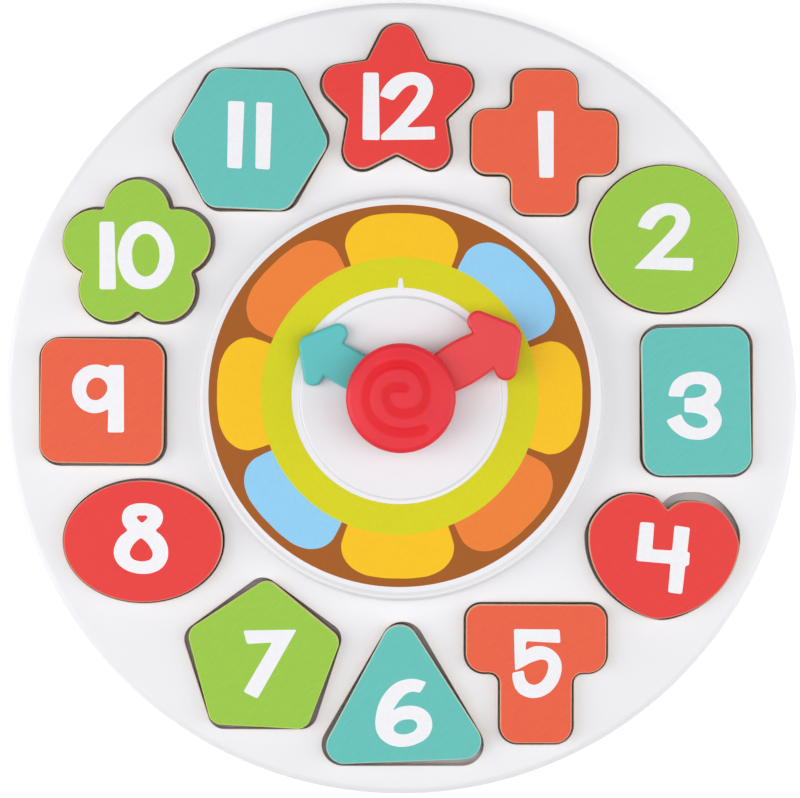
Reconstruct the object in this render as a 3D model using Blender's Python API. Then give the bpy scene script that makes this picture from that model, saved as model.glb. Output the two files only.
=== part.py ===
"""Shape sorting clock: a round toy tray with twelve numbered blocks in fitted pockets.

A raised dial in the middle carries two hands that turn by hand on one post, under a
domed button that is pressed for light and sound. The toy lies flat on four feet.
Lengths are in metres, +Z is up, +Y points to twelve and +X to three. The origin is on
the table, under the middle of the toy.
"""

import math

import bmesh
import bpy

# Clearances
GAP = 0.0003
OVERRUN = 0.001
JOIN_OVERLAP = 0.0006
MERGE_DISTANCE = 0.000001

# Blocks and pockets
BLOCK_SPAN = 0.050
BLOCK_THICKNESS = 0.011
POCKET_DEPTH = 0.007
POCKET_PLAY = 0.0010
LOOSE_POCKET_PLAY = 0.0012
POCKET_FLOOR = 0.0020
POCKET_WALL = 0.0018
POCKET_SPACING = 0.0020
HOURS = 12

# Tray and shell
DIAL_BASE_RADIUS = 0.0698
DIAL_MARGIN = 0.0058
RIM_MARGIN = 0.0094
TRAY_FACE_HEIGHT = 0.025
TRAY_EDGE_ROUND = 0.0027
SHELL_WALL = 0.0022
SHELL_FOOT_CHAMFER = 0.0006

# Dial
DIAL_RAISE = 0.0082
DIAL_WALL_DRAFT = 0.0019
DIAL_RIM_ROUND = 0.0007
DIAL_RIM_WIDTH = 0.0018
DIAL_RECESS = 0.0009
DISC_RADIUS = 0.0344
DISC_RAISE = 0.0013
DISC_ROUND = 0.0005
STICKER_MARGIN = 0.0015
STICKER_HOLE_MARGIN = 0.0023
STICKER_THICKNESS = 0.0003
STICKER_SEAT = 0.0001
STICKER_SHIFT_X = -0.0007
STICKER_SHIFT_Y = 0.0008
TICK_LENGTH = 0.0044
TICK_WIDTH = 0.0024
TICK_TIP_WIDTH = 0.0012
TICK_HEIGHT = 0.0007
TICK_ROUND = 0.0006

# Hand post
POST_RADIUS = 0.0060
SPRING_BORE_RADIUS = 0.0044
STEM_BORE_RADIUS = 0.0032
SHOULDER_THICKNESS = 0.0015

# Hands
HAND_BORE_PLAY = 0.0003
HOUR_RING_RADIUS = 0.0135
HOUR_THICKNESS = 0.0032
HOUR_SHAFT_WIDTH = 0.0130
HOUR_HEAD_START = 0.0262
HOUR_NOSE = 0.0406
HOUR_NOSE_ROUND = 0.0054
HOUR_BARB_REACH = 0.0184
HOUR_BARB_ROUND = 0.0041
HOUR_ANGLE = 60.0
MINUTE_RING_RADIUS = 0.0175
MINUTE_THICKNESS = 0.0036
MINUTE_SHAFT_WIDTH = 0.0140
MINUTE_HEAD_START = 0.0308
MINUTE_NOSE = 0.0474
MINUTE_NOSE_ROUND = 0.0060
MINUTE_BARB_REACH = 0.0202
MINUTE_BARB_ROUND = 0.0045
MINUTE_ANGLE = -60.0
HAND_NOTCH_ROUND = 0.0006
HAND_SEAT = 0.0004
HAND_ROOT_OVERLAP = 0.0020
SPACER_WIDTH = 0.0055
SPACER_THICKNESS = 0.0005
RETAINER_WIDTH = 0.0046
RETAINER_THICKNESS = 0.0010

# Centre button
BUTTON_RADIUS = 0.0183
BUTTON_TRAVEL = 0.0012
BUTTON_ROOF = 0.0029
BUTTON_EDGE_ROUND = 0.0012
BUTTON_DOME_RISE = 0.0012
BUTTON_WALL = 0.0020
STEM_RADIUS = 0.0028
STEM_SOCKET_DEPTH = 0.0015
STEM_TAIL = 0.0009
CLIP_GROOVE_DEPTH = 0.0007
CLIP_THICKNESS = 0.0008
CLIP_RADIUS = 0.0048
SPRING_WIRE_RADIUS = 0.0003
SPRING_TURNS = 6

# Rear cover
FOOT_STAND = 0.0012
COVER_THICKNESS = 0.0024
COVER_LIP_WIDTH = 0.0014
COVER_LIP_HEIGHT = 0.0020
FOOT_RADIUS = 0.0075
FOOT_RECESS = 0.0009
FOOT_INSET = 0.027
FOOT_ROUND = 0.0005
FEET = 4

# Screws
SCREW_SHANK_RADIUS = 0.0013
SCREW_HEAD_RADIUS = 0.0026
SCREW_HEAD_HEIGHT = 0.0010
SCREW_LENGTH = 0.0090
SCREW_POINT = 0.0007
COUNTERBORE_DEPTH = 0.0014
BOSS_RADIUS = 0.0036
RIM_SCREWS = 6
RIM_SCREW_INSET = 0.0110
MIDDLE_SCREW_INSET = 0.0128

# Circuit board
BOARD_LENGTH = 0.052
BOARD_WIDTH = 0.030
BOARD_THICKNESS = 0.0016
BOARD_ROUND = 0.0015
BOARD_SCREW_SPACING = 0.042
BOARD_POST_RADIUS = 0.0030
BOARD_SCREW_LENGTH = 0.0060
CHIP_LENGTH = 0.011
CHIP_WIDTH = 0.008
CHIP_HEIGHT = 0.0013
CHIP_OFFSET = 0.0085
SWITCH_BODY_SIDE = 0.0060
SWITCH_BODY_HEIGHT = 0.0035
PLUNGER_RADIUS = 0.0017
PLUNGER_HEIGHT = 0.0008
LAMP_RADIUS = 0.0015
LAMP_HEIGHT = 0.0044
LAMP_SPACING = 0.013

# Speaker
SPEAKER_RADIUS = 0.0180
SPEAKER_PLACE_Y = 0.038
SPEAKER_RIM_WIDTH = 0.0022
SPEAKER_RIM_HEIGHT = 0.0010
SPEAKER_BASKET_RADIUS = 0.0085
SPEAKER_BASKET_HEIGHT = 0.0046
SPEAKER_SHEET = 0.0008
CONE_THROAT_RADIUS = 0.0050
CONE_SHEET = 0.0006
CONE_DROP = 0.0024
MAGNET_RADIUS = 0.0080
MAGNET_HEIGHT = 0.0034
SPEAKER_FENCE_WIDTH = 0.0014
SPEAKER_FENCE_HEIGHT = 0.0032
GRILLE_HOLE_RADIUS = 0.0013
GRILLE_PITCH = 0.0048
GRILLE_RINGS = 2

# Battery compartment
CELL_RADIUS = 0.00525
CELL_LENGTH = 0.0445
CELL_NUB_RADIUS = 0.0019
CELL_NUB_LENGTH = 0.0008
CELL_PLAY = 0.0007
CELL_LIFT = 0.0004
BAY_PLACE_Y = -0.032
BAY_WALL = 0.0016
BAY_SPRING_ROOM = 0.0042
CONTACT_SHEET = 0.0004
CONTACT_WIDTH = 0.0080
CELL_SPRING_RADIUS = 0.0032
CELL_SPRING_TIP_RADIUS = 0.0016
CELL_SPRING_TURNS = 3
DOOR_THICKNESS = 0.0019
DOOR_MARGIN = 0.0045
DOOR_SCREW_ROOM = 0.0066
DOOR_FLANGE_WIDTH = 0.0025
DOOR_FLANGE_THICKNESS = 0.0018
DOOR_CORNER_ROUND = 0.0030
DOOR_SCREW_LENGTH = 0.0060
DOOR_SCREW_HEAD_HEIGHT = 0.0008
DOOR_BOSS_HEIGHT = 0.0035
DOOR_COUNTERBORE = 0.0009

# Power switch
POWER_PLACE_X = -0.046
POWER_PLACE_Y = 0.022
POWER_TRAVEL = 0.0040
KNOB_LENGTH = 0.0026
KNOB_WIDTH = 0.0026
KNOB_PROUD = 0.0004
KNOB_FLANGE_LENGTH = 0.0114
KNOB_FLANGE_WIDTH = 0.0044
KNOB_FLANGE_THICKNESS = 0.0008
POWER_BODY_WIDTH = 0.0060
POWER_BODY_HEIGHT = 0.0040
POWER_SHELF_LENGTH = 0.0024

# Facets of round shapes
SHELL_FACETS = 56
ROUND_FACETS = 28
FOOT_FACETS = 18
SMALL_FACETS = 12
HOLE_FACETS = 8
TURN_POINTS = 9
CORNER_FACETS = 3
NOTCH_FACETS = 1
EDGE_FACETS = 2

# The most of an edge that the roundings at its two ends take up
FILLET_REACH_SHARE = 0.98

# Heights above the table, from the cover upwards
COVER_TOP = FOOT_STAND + COVER_THICKNESS
TRAY_FLOOR_TOP = TRAY_FACE_HEIGHT - POCKET_DEPTH
TUB_BOTTOM = TRAY_FLOOR_TOP - POCKET_FLOOR
TRAY_UNDERSIDE = TRAY_FACE_HEIGHT - SHELL_WALL
BLOCK_BOTTOM = TRAY_FLOOR_TOP + GAP
DIAL_RIM_TOP = TRAY_FACE_HEIGHT + DIAL_RAISE
DIAL_FLOOR = DIAL_RIM_TOP - DIAL_RECESS
DIAL_UNDERSIDE = DIAL_FLOOR - SHELL_WALL
DISC_TOP = DIAL_FLOOR + DISC_RAISE
HOUR_BOTTOM = DISC_TOP + HAND_SEAT
HOUR_TOP = HOUR_BOTTOM + HOUR_THICKNESS
SPACER_BOTTOM = HOUR_TOP + GAP
SPACER_TOP = SPACER_BOTTOM + SPACER_THICKNESS
MINUTE_BOTTOM = SPACER_TOP + GAP
MINUTE_TOP = MINUTE_BOTTOM + MINUTE_THICKNESS
RETAINER_BOTTOM = MINUTE_TOP + GAP
RETAINER_TOP = RETAINER_BOTTOM + RETAINER_THICKNESS
POST_TOP = RETAINER_TOP + GAP
BUTTON_BOTTOM = MINUTE_TOP + BUTTON_TRAVEL + GAP
BUTTON_CEILING = POST_TOP + BUTTON_TRAVEL + GAP
BUTTON_TOP = BUTTON_CEILING + BUTTON_ROOF
SHOULDER_TOP = DIAL_UNDERSIDE + SHOULDER_THICKNESS
CLIP_TOP = DIAL_UNDERSIDE - GAP
CLIP_BOTTOM = CLIP_TOP - CLIP_THICKNESS
STEM_BOTTOM = CLIP_BOTTOM - STEM_TAIL
PLUNGER_TOP = STEM_BOTTOM - BUTTON_TRAVEL - GAP
SWITCH_BOTTOM = PLUNGER_TOP - PLUNGER_HEIGHT - SWITCH_BODY_HEIGHT
BOARD_TOP = SWITCH_BOTTOM - GAP
BOARD_BOTTOM = BOARD_TOP - BOARD_THICKNESS

# Radii, from the middle outwards
POCKET_CIRCLE_RADIUS = max(
    DIAL_BASE_RADIUS + DIAL_MARGIN + BLOCK_SPAN / 2,
    (BLOCK_SPAN + POCKET_SPACING) / (2 * math.sin(math.pi / HOURS)),
)
SHELL_RADIUS = POCKET_CIRCLE_RADIUS + BLOCK_SPAN / 2 + RIM_MARGIN
DIAL_TOP_RADIUS = DIAL_BASE_RADIUS - DIAL_WALL_DRAFT
DIAL_RECESS_RADIUS = DIAL_TOP_RADIUS - DIAL_RIM_WIDTH
STICKER_OUTER_RADIUS = DIAL_RECESS_RADIUS - STICKER_MARGIN
STICKER_INNER_RADIUS = DISC_RADIUS + STICKER_HOLE_MARGIN
SHELL_INNER_RADIUS = SHELL_RADIUS - SHELL_WALL
COVER_RADIUS = SHELL_INNER_RADIUS - GAP
HAND_BORE_RADIUS = POST_RADIUS + HAND_BORE_PLAY
RIM_SCREW_RADIUS = SHELL_RADIUS - RIM_SCREW_INSET
MIDDLE_SCREW_RADIUS = DIAL_BASE_RADIUS - MIDDLE_SCREW_INSET
FOOT_CIRCLE_RADIUS = SHELL_RADIUS - FOOT_INSET
SCREW_HOLE_RADIUS = SCREW_SHANK_RADIUS + GAP

# Battery bay, from the cells outwards
CELL_PITCH = 2 * CELL_RADIUS + CELL_PLAY
BAY_LENGTH = CELL_LENGTH + BAY_SPRING_ROOM + 2 * CONTACT_SHEET + 4 * GAP
BAY_WIDTH = CELL_PITCH + 2 * CELL_RADIUS + 2 * CELL_PLAY
DOOR_TOP = FOOT_STAND + DOOR_THICKNESS
CELL_HEIGHT = DOOR_TOP + CELL_LIFT + CELL_RADIUS
BAY_CEILING = CELL_HEIGHT + CELL_RADIUS + GAP
DOOR_LENGTH = BAY_LENGTH + 2 * DOOR_MARGIN
DOOR_WIDTH = BAY_WIDTH + 2 * DOOR_MARGIN + DOOR_SCREW_ROOM
DOOR_PLACE_Y = BAY_PLACE_Y + DOOR_SCREW_ROOM / 2
DOOR_SCREW_Y = BAY_PLACE_Y + BAY_WIDTH / 2 + BAY_WALL + BOSS_RADIUS
DOOR_LEDGE = DOOR_TOP + GAP

# Outlines of the blocks, as shares of the block span
STAR_TIP_SHARE = 0.700
STAR_NOTCH_SHARE = 0.352
STAR_TIP_ROUND_SHARE = 0.130
STAR_NOTCH_ROUND_SHARE = 0.024
CROSS_SPAN_SHARE = 0.988
CROSS_ARM_SHARE = 0.440
CROSS_ROUND_SHARE = 0.104
CROSS_NOTCH_ROUND_SHARE = 0.050
CIRCLE_RADIUS_SHARE = 0.499
RECTANGLE_WIDTH_SHARE = 0.744
RECTANGLE_HEIGHT_SHARE = 1.016
RECTANGLE_ROUND_SHARE = 0.132
HEART_WIDTH_SHARE = 1.014
HEART_TOP_SHARE = 0.416
HEART_NOTCH_SHARE = 0.332
HEART_SIDE_SHARE = 0.142
HEART_LOBE_SHARE = 0.226
HEART_SIDE_HANDLES_SHARES = (0.406, 0.074)
HEART_LOBE_HANDLES_SHARES = (0.168, 0.168)
HEART_BOTTOM_HANDLE_SHARE = 0.116
HEART_NOTCH_HANDLE_SHARES = (0.060, 0.052)
TEE_WIDTH_SHARE = 0.954
TEE_HEIGHT_SHARE = 0.944
TEE_BAR_SHARE = 0.462
TEE_STEM_SHARE = 0.486
TEE_ROUND_SHARE = 0.108
TEE_NOTCH_ROUND_SHARE = 0.052
TRIANGLE_BASE_SHARE = 1.246
TRIANGLE_HEIGHT_SHARE = 1.070
TRIANGLE_ROUND_SHARE = 0.124
PENTAGON_CORNER_SHARE = 0.562
PENTAGON_ROUND_SHARE = 0.092
OVAL_HALF_SHARES = (0.538, 0.412)
SQUARE_SIDE_SHARE = 0.846
SQUARE_ROUND_SHARE = 0.132
FLOWER_LOBE_PLACE_SHARE = 0.298
FLOWER_LOBE_SHARE = 0.220
HEXAGON_WIDTH_SHARE = 1.088
HEXAGON_HEIGHT_SHARE = 0.962
HEXAGON_EDGE_SHARE = 0.556
HEXAGON_ROUND_SHARE = 0.120

# Finishes: base colour, roughness, metallic value
WHITE = ((0.88, 0.885, 0.91), 0.32, 0.0)
RED = ((0.83, 0.075, 0.060), 0.55, 0.0)
CORAL = ((0.84, 0.135, 0.060), 0.55, 0.0)
GREEN = ((0.33, 0.60, 0.075), 0.55, 0.0)
TEAL = ((0.150, 0.560, 0.500), 0.55, 0.0)
HAND_RED = ((0.82, 0.080, 0.090), 0.38, 0.0)
BUTTON_RED = ((0.83, 0.040, 0.060), 0.22, 0.0)
STICKER_BROWN = ((0.40, 0.115, 0.018), 0.45, 0.0)
RUBBER_GREY = ((0.20, 0.20, 0.21), 0.80, 0.0)
STEEL = ((0.60, 0.60, 0.62), 0.30, 1.0)
NICKEL = ((0.72, 0.70, 0.66), 0.28, 1.0)
BOARD_GREEN = ((0.020, 0.160, 0.060), 0.45, 0.0)
SWITCH_BLACK = ((0.020, 0.020, 0.022), 0.50, 0.0)
LAMP_CLEAR = ((0.85, 0.85, 0.80), 0.15, 0.0)
CONE_BLACK = ((0.030, 0.030, 0.032), 0.85, 0.0)
CELL_JACKET = ((0.10, 0.20, 0.42), 0.35, 0.0)
KNOB_GREY = ((0.30, 0.31, 0.33), 0.50, 0.0)


# Outlines, as lists of points that run anticlockwise


def direction(a, b):
    """Unit vector from one point to another."""
    length = math.dist(a, b)
    return (b[0] - a[0]) / length, (b[1] - a[1]) / length


def rounded_polygon(corners, rounds, grow=0.0, facets=CORNER_FACETS, notch_facets=NOTCH_FACETS):
    """A polygon with each corner rounded, moved outwards by grow.

    Where two roundings would meet on an edge, both are drawn in until they share it.
    """
    count = len(corners)
    edges = [direction(corners[i], corners[(i + 1) % count]) for i in range(count)]
    moved = []
    turns = []
    cuts = []
    for i, (x, y) in enumerate(corners):
        (ax, ay), (bx, by) = edges[i - 1], edges[i]
        reach = grow / (1 + ax * bx + ay * by)
        moved.append((x + (ay + by) * reach, y - (ax + bx) * reach))
        turns.append(math.atan2(ax * by - ay * bx, ax * bx + ay * by))
        radius = rounds[i] + grow if turns[i] > 0 else max(rounds[i] - grow, GAP)
        cuts.append(radius * math.tan(abs(turns[i]) / 2))
    drawn_in = list(cuts)
    for i in range(count):
        ahead = (i + 1) % count
        share = FILLET_REACH_SHARE * math.dist(moved[i], moved[ahead]) / max(cuts[i] + cuts[ahead], GAP)
        drawn_in[i] = min(drawn_in[i], cuts[i] * share)
        drawn_in[ahead] = min(drawn_in[ahead], cuts[ahead] * share)
    points = []
    for i, (x, y) in enumerate(moved):
        ax, ay = edges[i - 1]
        side = math.copysign(1, turns[i])
        radius = drawn_in[i] / math.tan(abs(turns[i]) / 2)
        start = (x - ax * drawn_in[i], y - ay * drawn_in[i])
        centre = (start[0] - ay * radius * side, start[1] + ax * radius * side)
        first = math.degrees(math.atan2(start[1] - centre[1], start[0] - centre[0]))
        steps = facets if side > 0 else notch_facets
        points += arc(centre, radius, first, first + math.degrees(turns[i]), steps if radius else 0)
    return points


def polar(radius, degrees):
    angle = math.radians(degrees)
    return radius * math.cos(angle), radius * math.sin(angle)


def arc(centre, radius, first, last, facets):
    """Points along an arc, with both its ends, or its start where it has no facets."""
    points = []
    for step in range(facets + 1):
        across, up = polar(radius, first + (last - first) * step / max(facets, 1))
        points.append((centre[0] + across, centre[1] + up))
    return points


def mirrored(half):
    """Closes a right half, listed from the bottom up, with its mirror image."""
    return half + [(-x, y) for x, y in reversed(half)]


def oval(half_width, half_height, grow=0.0, facets=ROUND_FACETS):
    points = []
    for step in range(facets):
        angle = 2 * math.pi * step / facets
        across, up = math.cos(angle) / half_width, math.sin(angle) / half_height
        reach = grow / math.hypot(across, up)
        x, y = half_width * math.cos(angle), half_height * math.sin(angle)
        points.append((x + across * reach, y + up * reach))
    return points


def bezier(start, start_handle, end_handle, end, facets):
    """Points along a curve, without its last one."""
    points = []
    for step in range(facets):
        t = step / facets
        weights = ((1 - t) ** 3, 3 * t * (1 - t) ** 2, 3 * t * t * (1 - t), t**3)
        handles = (start, start_handle, end_handle, end)
        points.append(tuple(sum(w * p[axis] for w, p in zip(weights, handles)) for axis in (0, 1)))
    return points


def star_outline(grow):
    corners = []
    rounds = []
    for point in range(5):
        corners.append(polar(STAR_TIP_SHARE * BLOCK_SPAN, 90 + 72 * point))
        rounds.append(STAR_TIP_ROUND_SHARE * BLOCK_SPAN)
        corners.append(polar(STAR_NOTCH_SHARE * BLOCK_SPAN, 126 + 72 * point))
        rounds.append(STAR_NOTCH_ROUND_SHARE * BLOCK_SPAN)
    return rounded_polygon(corners, rounds, grow, facets=CORNER_FACETS + 1)


def cross_outline(grow):
    reach = CROSS_SPAN_SHARE * BLOCK_SPAN / 2
    arm = CROSS_ARM_SHARE * BLOCK_SPAN / 2
    outer = CROSS_ROUND_SHARE * BLOCK_SPAN
    notch = CROSS_NOTCH_ROUND_SHARE * BLOCK_SPAN
    corners = []
    for quarter in range(4):
        turn_x, turn_y = polar(1, 90 * quarter)
        for x, y in ((reach, -arm), (reach, arm), (arm, arm)):
            corners.append((x * turn_x - y * turn_y, x * turn_y + y * turn_x))
    return rounded_polygon(corners, [outer, outer, notch] * 4, grow)


def circle_outline(grow):
    radius = CIRCLE_RADIUS_SHARE * BLOCK_SPAN
    return oval(radius, radius, grow, ROUND_FACETS + SMALL_FACETS)


def box_outline(width, height, corner_round, grow=0.0):
    half = [(width / 2, -height / 2), (width / 2, height / 2)]
    return rounded_polygon(mirrored(half), [corner_round] * 4, grow)


def rectangle_outline(grow):
    width = RECTANGLE_WIDTH_SHARE * BLOCK_SPAN
    height = RECTANGLE_HEIGHT_SHARE * BLOCK_SPAN
    return box_outline(width, height, RECTANGLE_ROUND_SHARE * BLOCK_SPAN, grow)


def heart_outline(grow):
    """Three curves on each side, from the bottom over the lobe to the notch."""
    side_low, side_high = (share * BLOCK_SPAN for share in HEART_SIDE_HANDLES_SHARES)
    lobe_out, lobe_in = (share * BLOCK_SPAN for share in HEART_LOBE_HANDLES_SHARES)
    notch_x, notch_y = (share * BLOCK_SPAN for share in HEART_NOTCH_HANDLE_SHARES)
    top = HEART_TOP_SHARE * BLOCK_SPAN
    side = HEART_SIDE_SHARE * BLOCK_SPAN
    reach = HEART_WIDTH_SHARE * BLOCK_SPAN / 2
    lobe = HEART_LOBE_SHARE * BLOCK_SPAN
    notch = HEART_NOTCH_SHARE * BLOCK_SPAN
    bottom = HEART_BOTTOM_HANDLE_SHARE * BLOCK_SPAN
    curve = bezier((0, -top), (bottom, -top), (reach, side - side_low), (reach, side), 9)
    curve += bezier((reach, side), (reach, side + side_high), (lobe + lobe_out, top), (lobe, top), 5)
    curve += bezier((lobe, top), (lobe - lobe_in, top), (notch_x, notch + notch_y), (0, notch), 4)
    curve.append((0, notch))
    half = [(0, curve[0][1] - grow)]
    for i in range(1, len(curve)):
        along = direction(curve[i - 1], curve[min(i + 1, len(curve) - 1)])
        x, y = curve[i][0] + along[1] * grow, curve[i][1] - along[0] * grow
        if x > 0:
            half.append((x, y))
            continue
        last_x, last_y = half[-1]
        half.append((0, last_y + (y - last_y) * last_x / (last_x - x)))
        break
    else:
        half[-1] = (0, half[-1][1])
    left = [(-x, y) for x, y in reversed(half[1:-1])]
    return half + left


def tee_outline(grow):
    width = TEE_WIDTH_SHARE * BLOCK_SPAN / 2
    height = TEE_HEIGHT_SHARE * BLOCK_SPAN / 2
    stem = TEE_STEM_SHARE * BLOCK_SPAN / 2
    under_bar = height - TEE_BAR_SHARE * BLOCK_SPAN
    outer = TEE_ROUND_SHARE * BLOCK_SPAN
    notch = TEE_NOTCH_ROUND_SHARE * BLOCK_SPAN
    half = [(stem, -height), (stem, under_bar), (width, under_bar), (width, height)]
    return rounded_polygon(mirrored(half), [outer, notch, outer, outer, outer, outer, notch, outer], grow)


def triangle_outline(grow):
    width = TRIANGLE_BASE_SHARE * BLOCK_SPAN / 2
    height = TRIANGLE_HEIGHT_SHARE * BLOCK_SPAN / 2
    corners = [(width, -height), (0, height), (-width, -height)]
    return rounded_polygon(corners, [TRIANGLE_ROUND_SHARE * BLOCK_SPAN] * 3, grow, facets=CORNER_FACETS + 2)


def pentagon_outline(grow):
    corners = [polar(PENTAGON_CORNER_SHARE * BLOCK_SPAN, 90 + 72 * i) for i in range(5)]
    return rounded_polygon(corners, [PENTAGON_ROUND_SHARE * BLOCK_SPAN] * 5, grow)


def oval_outline(grow):
    half_width, half_height = (share * BLOCK_SPAN for share in OVAL_HALF_SHARES)
    return oval(half_width, half_height, grow, ROUND_FACETS + SMALL_FACETS)


def square_outline(grow):
    side = SQUARE_SIDE_SHARE * BLOCK_SPAN
    return box_outline(side, side, SQUARE_ROUND_SHARE * BLOCK_SPAN, grow)


def flower_outline(grow):
    """Five round petals that meet in sharp notches."""
    place = FLOWER_LOBE_PLACE_SHARE * BLOCK_SPAN
    radius = FLOWER_LOBE_SHARE * BLOCK_SPAN + grow
    half = math.pi / 5
    meet = place * math.cos(half) + math.sqrt(radius**2 - (place * math.sin(half)) ** 2)
    span = math.atan2(meet * math.sin(half), meet * math.cos(half) - place)
    points = []
    for petal in range(5):
        turn_x, turn_y = polar(1, 90 + 72 * petal)
        for step in range(8):
            angle = span * (2 * step / 8 - 1)
            x, y = place + radius * math.cos(angle), radius * math.sin(angle)
            points.append((x * turn_x - y * turn_y, x * turn_y + y * turn_x))
    return points


def hexagon_outline(grow):
    width = HEXAGON_WIDTH_SHARE * BLOCK_SPAN / 2
    height = HEXAGON_HEIGHT_SHARE * BLOCK_SPAN / 2
    edge = HEXAGON_EDGE_SHARE * BLOCK_SPAN / 2
    half = [(edge, -height), (width, 0), (edge, height)]
    return rounded_polygon(mirrored(half), [HEXAGON_ROUND_SHARE * BLOCK_SPAN] * 6, grow)


def arrow_outline(root, shaft, head, nose, nose_round, barb, barb_round):
    """An arrow that points along +Y, from its root to its nose."""
    half = [(shaft / 2, root), (shaft / 2, head), (barb, head)]
    corners = half + [(0, nose)] + [(-x, y) for x, y in reversed(half)]
    rounds = [0, HAND_NOTCH_ROUND, barb_round, nose_round, barb_round, HAND_NOTCH_ROUND, 0]
    return rounded_polygon(corners, rounds, facets=CORNER_FACETS + 2)


# Each block: outline, finish, pocket centre as a share of the pocket circle's radius and
# in degrees from its hour, pocket play, then how the block lies in it: turn in degrees
# and shift as shares of the play
BLOCK_PLACES_AND_SHIFT_SHARES = {
    "block_01_cross": (cross_outline, CORAL, 0.993, 0.7, POCKET_PLAY, -0.5, (-0.10, 0.10)),
    "block_02_circle": (circle_outline, GREEN, 1.040, 1.1, POCKET_PLAY, 0.0, (0.10, 0.25)),
    "block_03_rectangle": (rectangle_outline, TEAL, 1.003, -0.5, POCKET_PLAY, 0.9, (-0.05, 0.0)),
    "block_04_heart": (heart_outline, RED, 1.037, -1.1, LOOSE_POCKET_PLAY, -6.3, (-0.58, -0.33)),
    "block_05_tee": (tee_outline, CORAL, 1.038, -3.9, POCKET_PLAY, -0.3, (-0.40, 0.30)),
    "block_06_triangle": (triangle_outline, TEAL, 0.968, 0.5, LOOSE_POCKET_PLAY, 2.0, (-0.35, 0.05)),
    "block_07_pentagon": (pentagon_outline, GREEN, 1.002, 2.1, LOOSE_POCKET_PLAY, -2.8, (-0.10, 0.15)),
    "block_08_oval": (oval_outline, RED, 0.995, -1.0, POCKET_PLAY, 0.5, (-0.30, 0.10)),
    "block_09_square": (square_outline, CORAL, 1.008, 0.6, POCKET_PLAY, -0.8, (-0.25, 0.10)),
    "block_10_flower": (flower_outline, GREEN, 1.009, 1.2, POCKET_PLAY, 0.2, (-0.55, -0.10)),
    "block_11_hexagon": (hexagon_outline, TEAL, 1.013, 0.1, POCKET_PLAY, -2.0, (-0.10, 0.10)),
    "block_12_star": (star_outline, RED, 1.000, 0.7, POCKET_PLAY, -0.6, (0.0, 0.10)),
}


# Making shapes


def clear_scene():
    for thing in list(bpy.data.objects):
        bpy.data.objects.remove(thing)


def finish(name, look):
    """A material from a base colour, a roughness and a metallic value."""
    made = bpy.data.materials.new(name)
    made.use_nodes = True
    shader = made.node_tree.nodes["Principled BSDF"]
    colour, roughness, metallic = look
    shader.inputs["Base Color"].default_value = (*colour, 1)
    shader.inputs["Roughness"].default_value = roughness
    shader.inputs["Metallic"].default_value = metallic
    return made


def new_object(name, shape, look=None):
    """Turns a bmesh into an object of the scene, with its faces outwards."""
    bmesh.ops.recalc_face_normals(shape, faces=shape.faces)
    mesh = bpy.data.meshes.new(name)
    shape.to_mesh(mesh)
    shape.free()
    mesh.shade_smooth()
    mesh.set_sharp_from_angle(angle=math.radians(35))
    made = bpy.data.objects.new(name, mesh)
    bpy.context.scene.collection.objects.link(made)
    if look:
        mesh.materials.append(finish(name, look))
    return made


def extruded(name, outline, bottom, top, look=None):
    """A prism of an outline between two heights."""
    shape = bmesh.new()
    base = shape.faces.new([shape.verts.new((x, y, bottom)) for x, y in outline])
    grown = bmesh.ops.extrude_face_region(shape, geom=[base])
    upper = [item for item in grown["geom"] if isinstance(item, bmesh.types.BMVert)]
    bmesh.ops.translate(shape, vec=(0, 0, top - bottom), verts=upper)
    return new_object(name, shape, look)


def turned(name, profile, look=None, facets=ROUND_FACETS):
    """Spins a profile of radii and heights once round the vertical axis.

    A profile that leaves the axis and comes back to it is left open there. Any other
    profile is closed into a ring.
    """
    shape = bmesh.new()
    points = [shape.verts.new((radius, 0, height)) for radius, height in profile]
    edges = [shape.edges.new(pair) for pair in zip(points, points[1:])]
    if profile[0][0] > 0:
        edges.append(shape.edges.new((points[-1], points[0])))
    bmesh.ops.spin(
        shape,
        geom=points + edges,
        cent=(0, 0, 0),
        axis=(0, 0, 1),
        angle=2 * math.pi,
        steps=facets,
        use_merge=True,
    )
    bmesh.ops.remove_doubles(shape, verts=shape.verts, dist=MERGE_DISTANCE)
    return new_object(name, shape, look)


def slab(name, centre, size, bottom, top, look=None):
    """A box round a centre in plan, of a length along X and a width along Y."""
    (x, y), (length, width) = centre, size
    half = [(length / 2, -width / 2), (length / 2, width / 2)]
    return extruded(name, [(x + across, y + up) for across, up in mirrored(half)], bottom, top, look)


def rod(name, radius, bottom, top, look=None, facets=SMALL_FACETS):
    return extruded(name, oval(radius, radius, facets=facets), bottom, top, look)


def tube_along(name, points, radius, look):
    """A wire of round section through the points, with closed ends."""
    curve = bpy.data.curves.new(name, "CURVE")
    curve.dimensions = "3D"
    curve.bevel_depth = radius
    curve.bevel_resolution = 1
    curve.use_fill_caps = True
    wire = curve.splines.new("POLY")
    wire.points.add(len(points) - 1)
    for point, place in zip(wire.points, points):
        point.co = (*place, 1)
    curve.materials.append(finish(name, look))
    made = bpy.data.objects.new(name, curve)
    bpy.context.scene.collection.objects.link(made)
    return made


def at(thing, x, y, z=0.0, turn=0.0):
    thing.location = (x, y, z)
    thing.rotation_euler = (0, 0, math.radians(turn))
    return thing


def combine(target, operation, tools):
    """Joins tools to the target, or cuts them out of it, in one step."""
    group = bpy.data.collections.new(f"{target.name}_{operation.lower()}_{len(target.modifiers)}")
    bpy.context.scene.collection.children.link(group)
    for tool in tools:
        bpy.context.scene.collection.objects.unlink(tool)
        group.objects.link(tool)
        tool.hide_render = True
        tool.display_type = "WIRE"
    step = target.modifiers.new(operation.title(), "BOOLEAN")
    step.operation = operation
    step.solver = "EXACT"
    step.operand_type = "COLLECTION"
    step.collection = group


# Blocks


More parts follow.
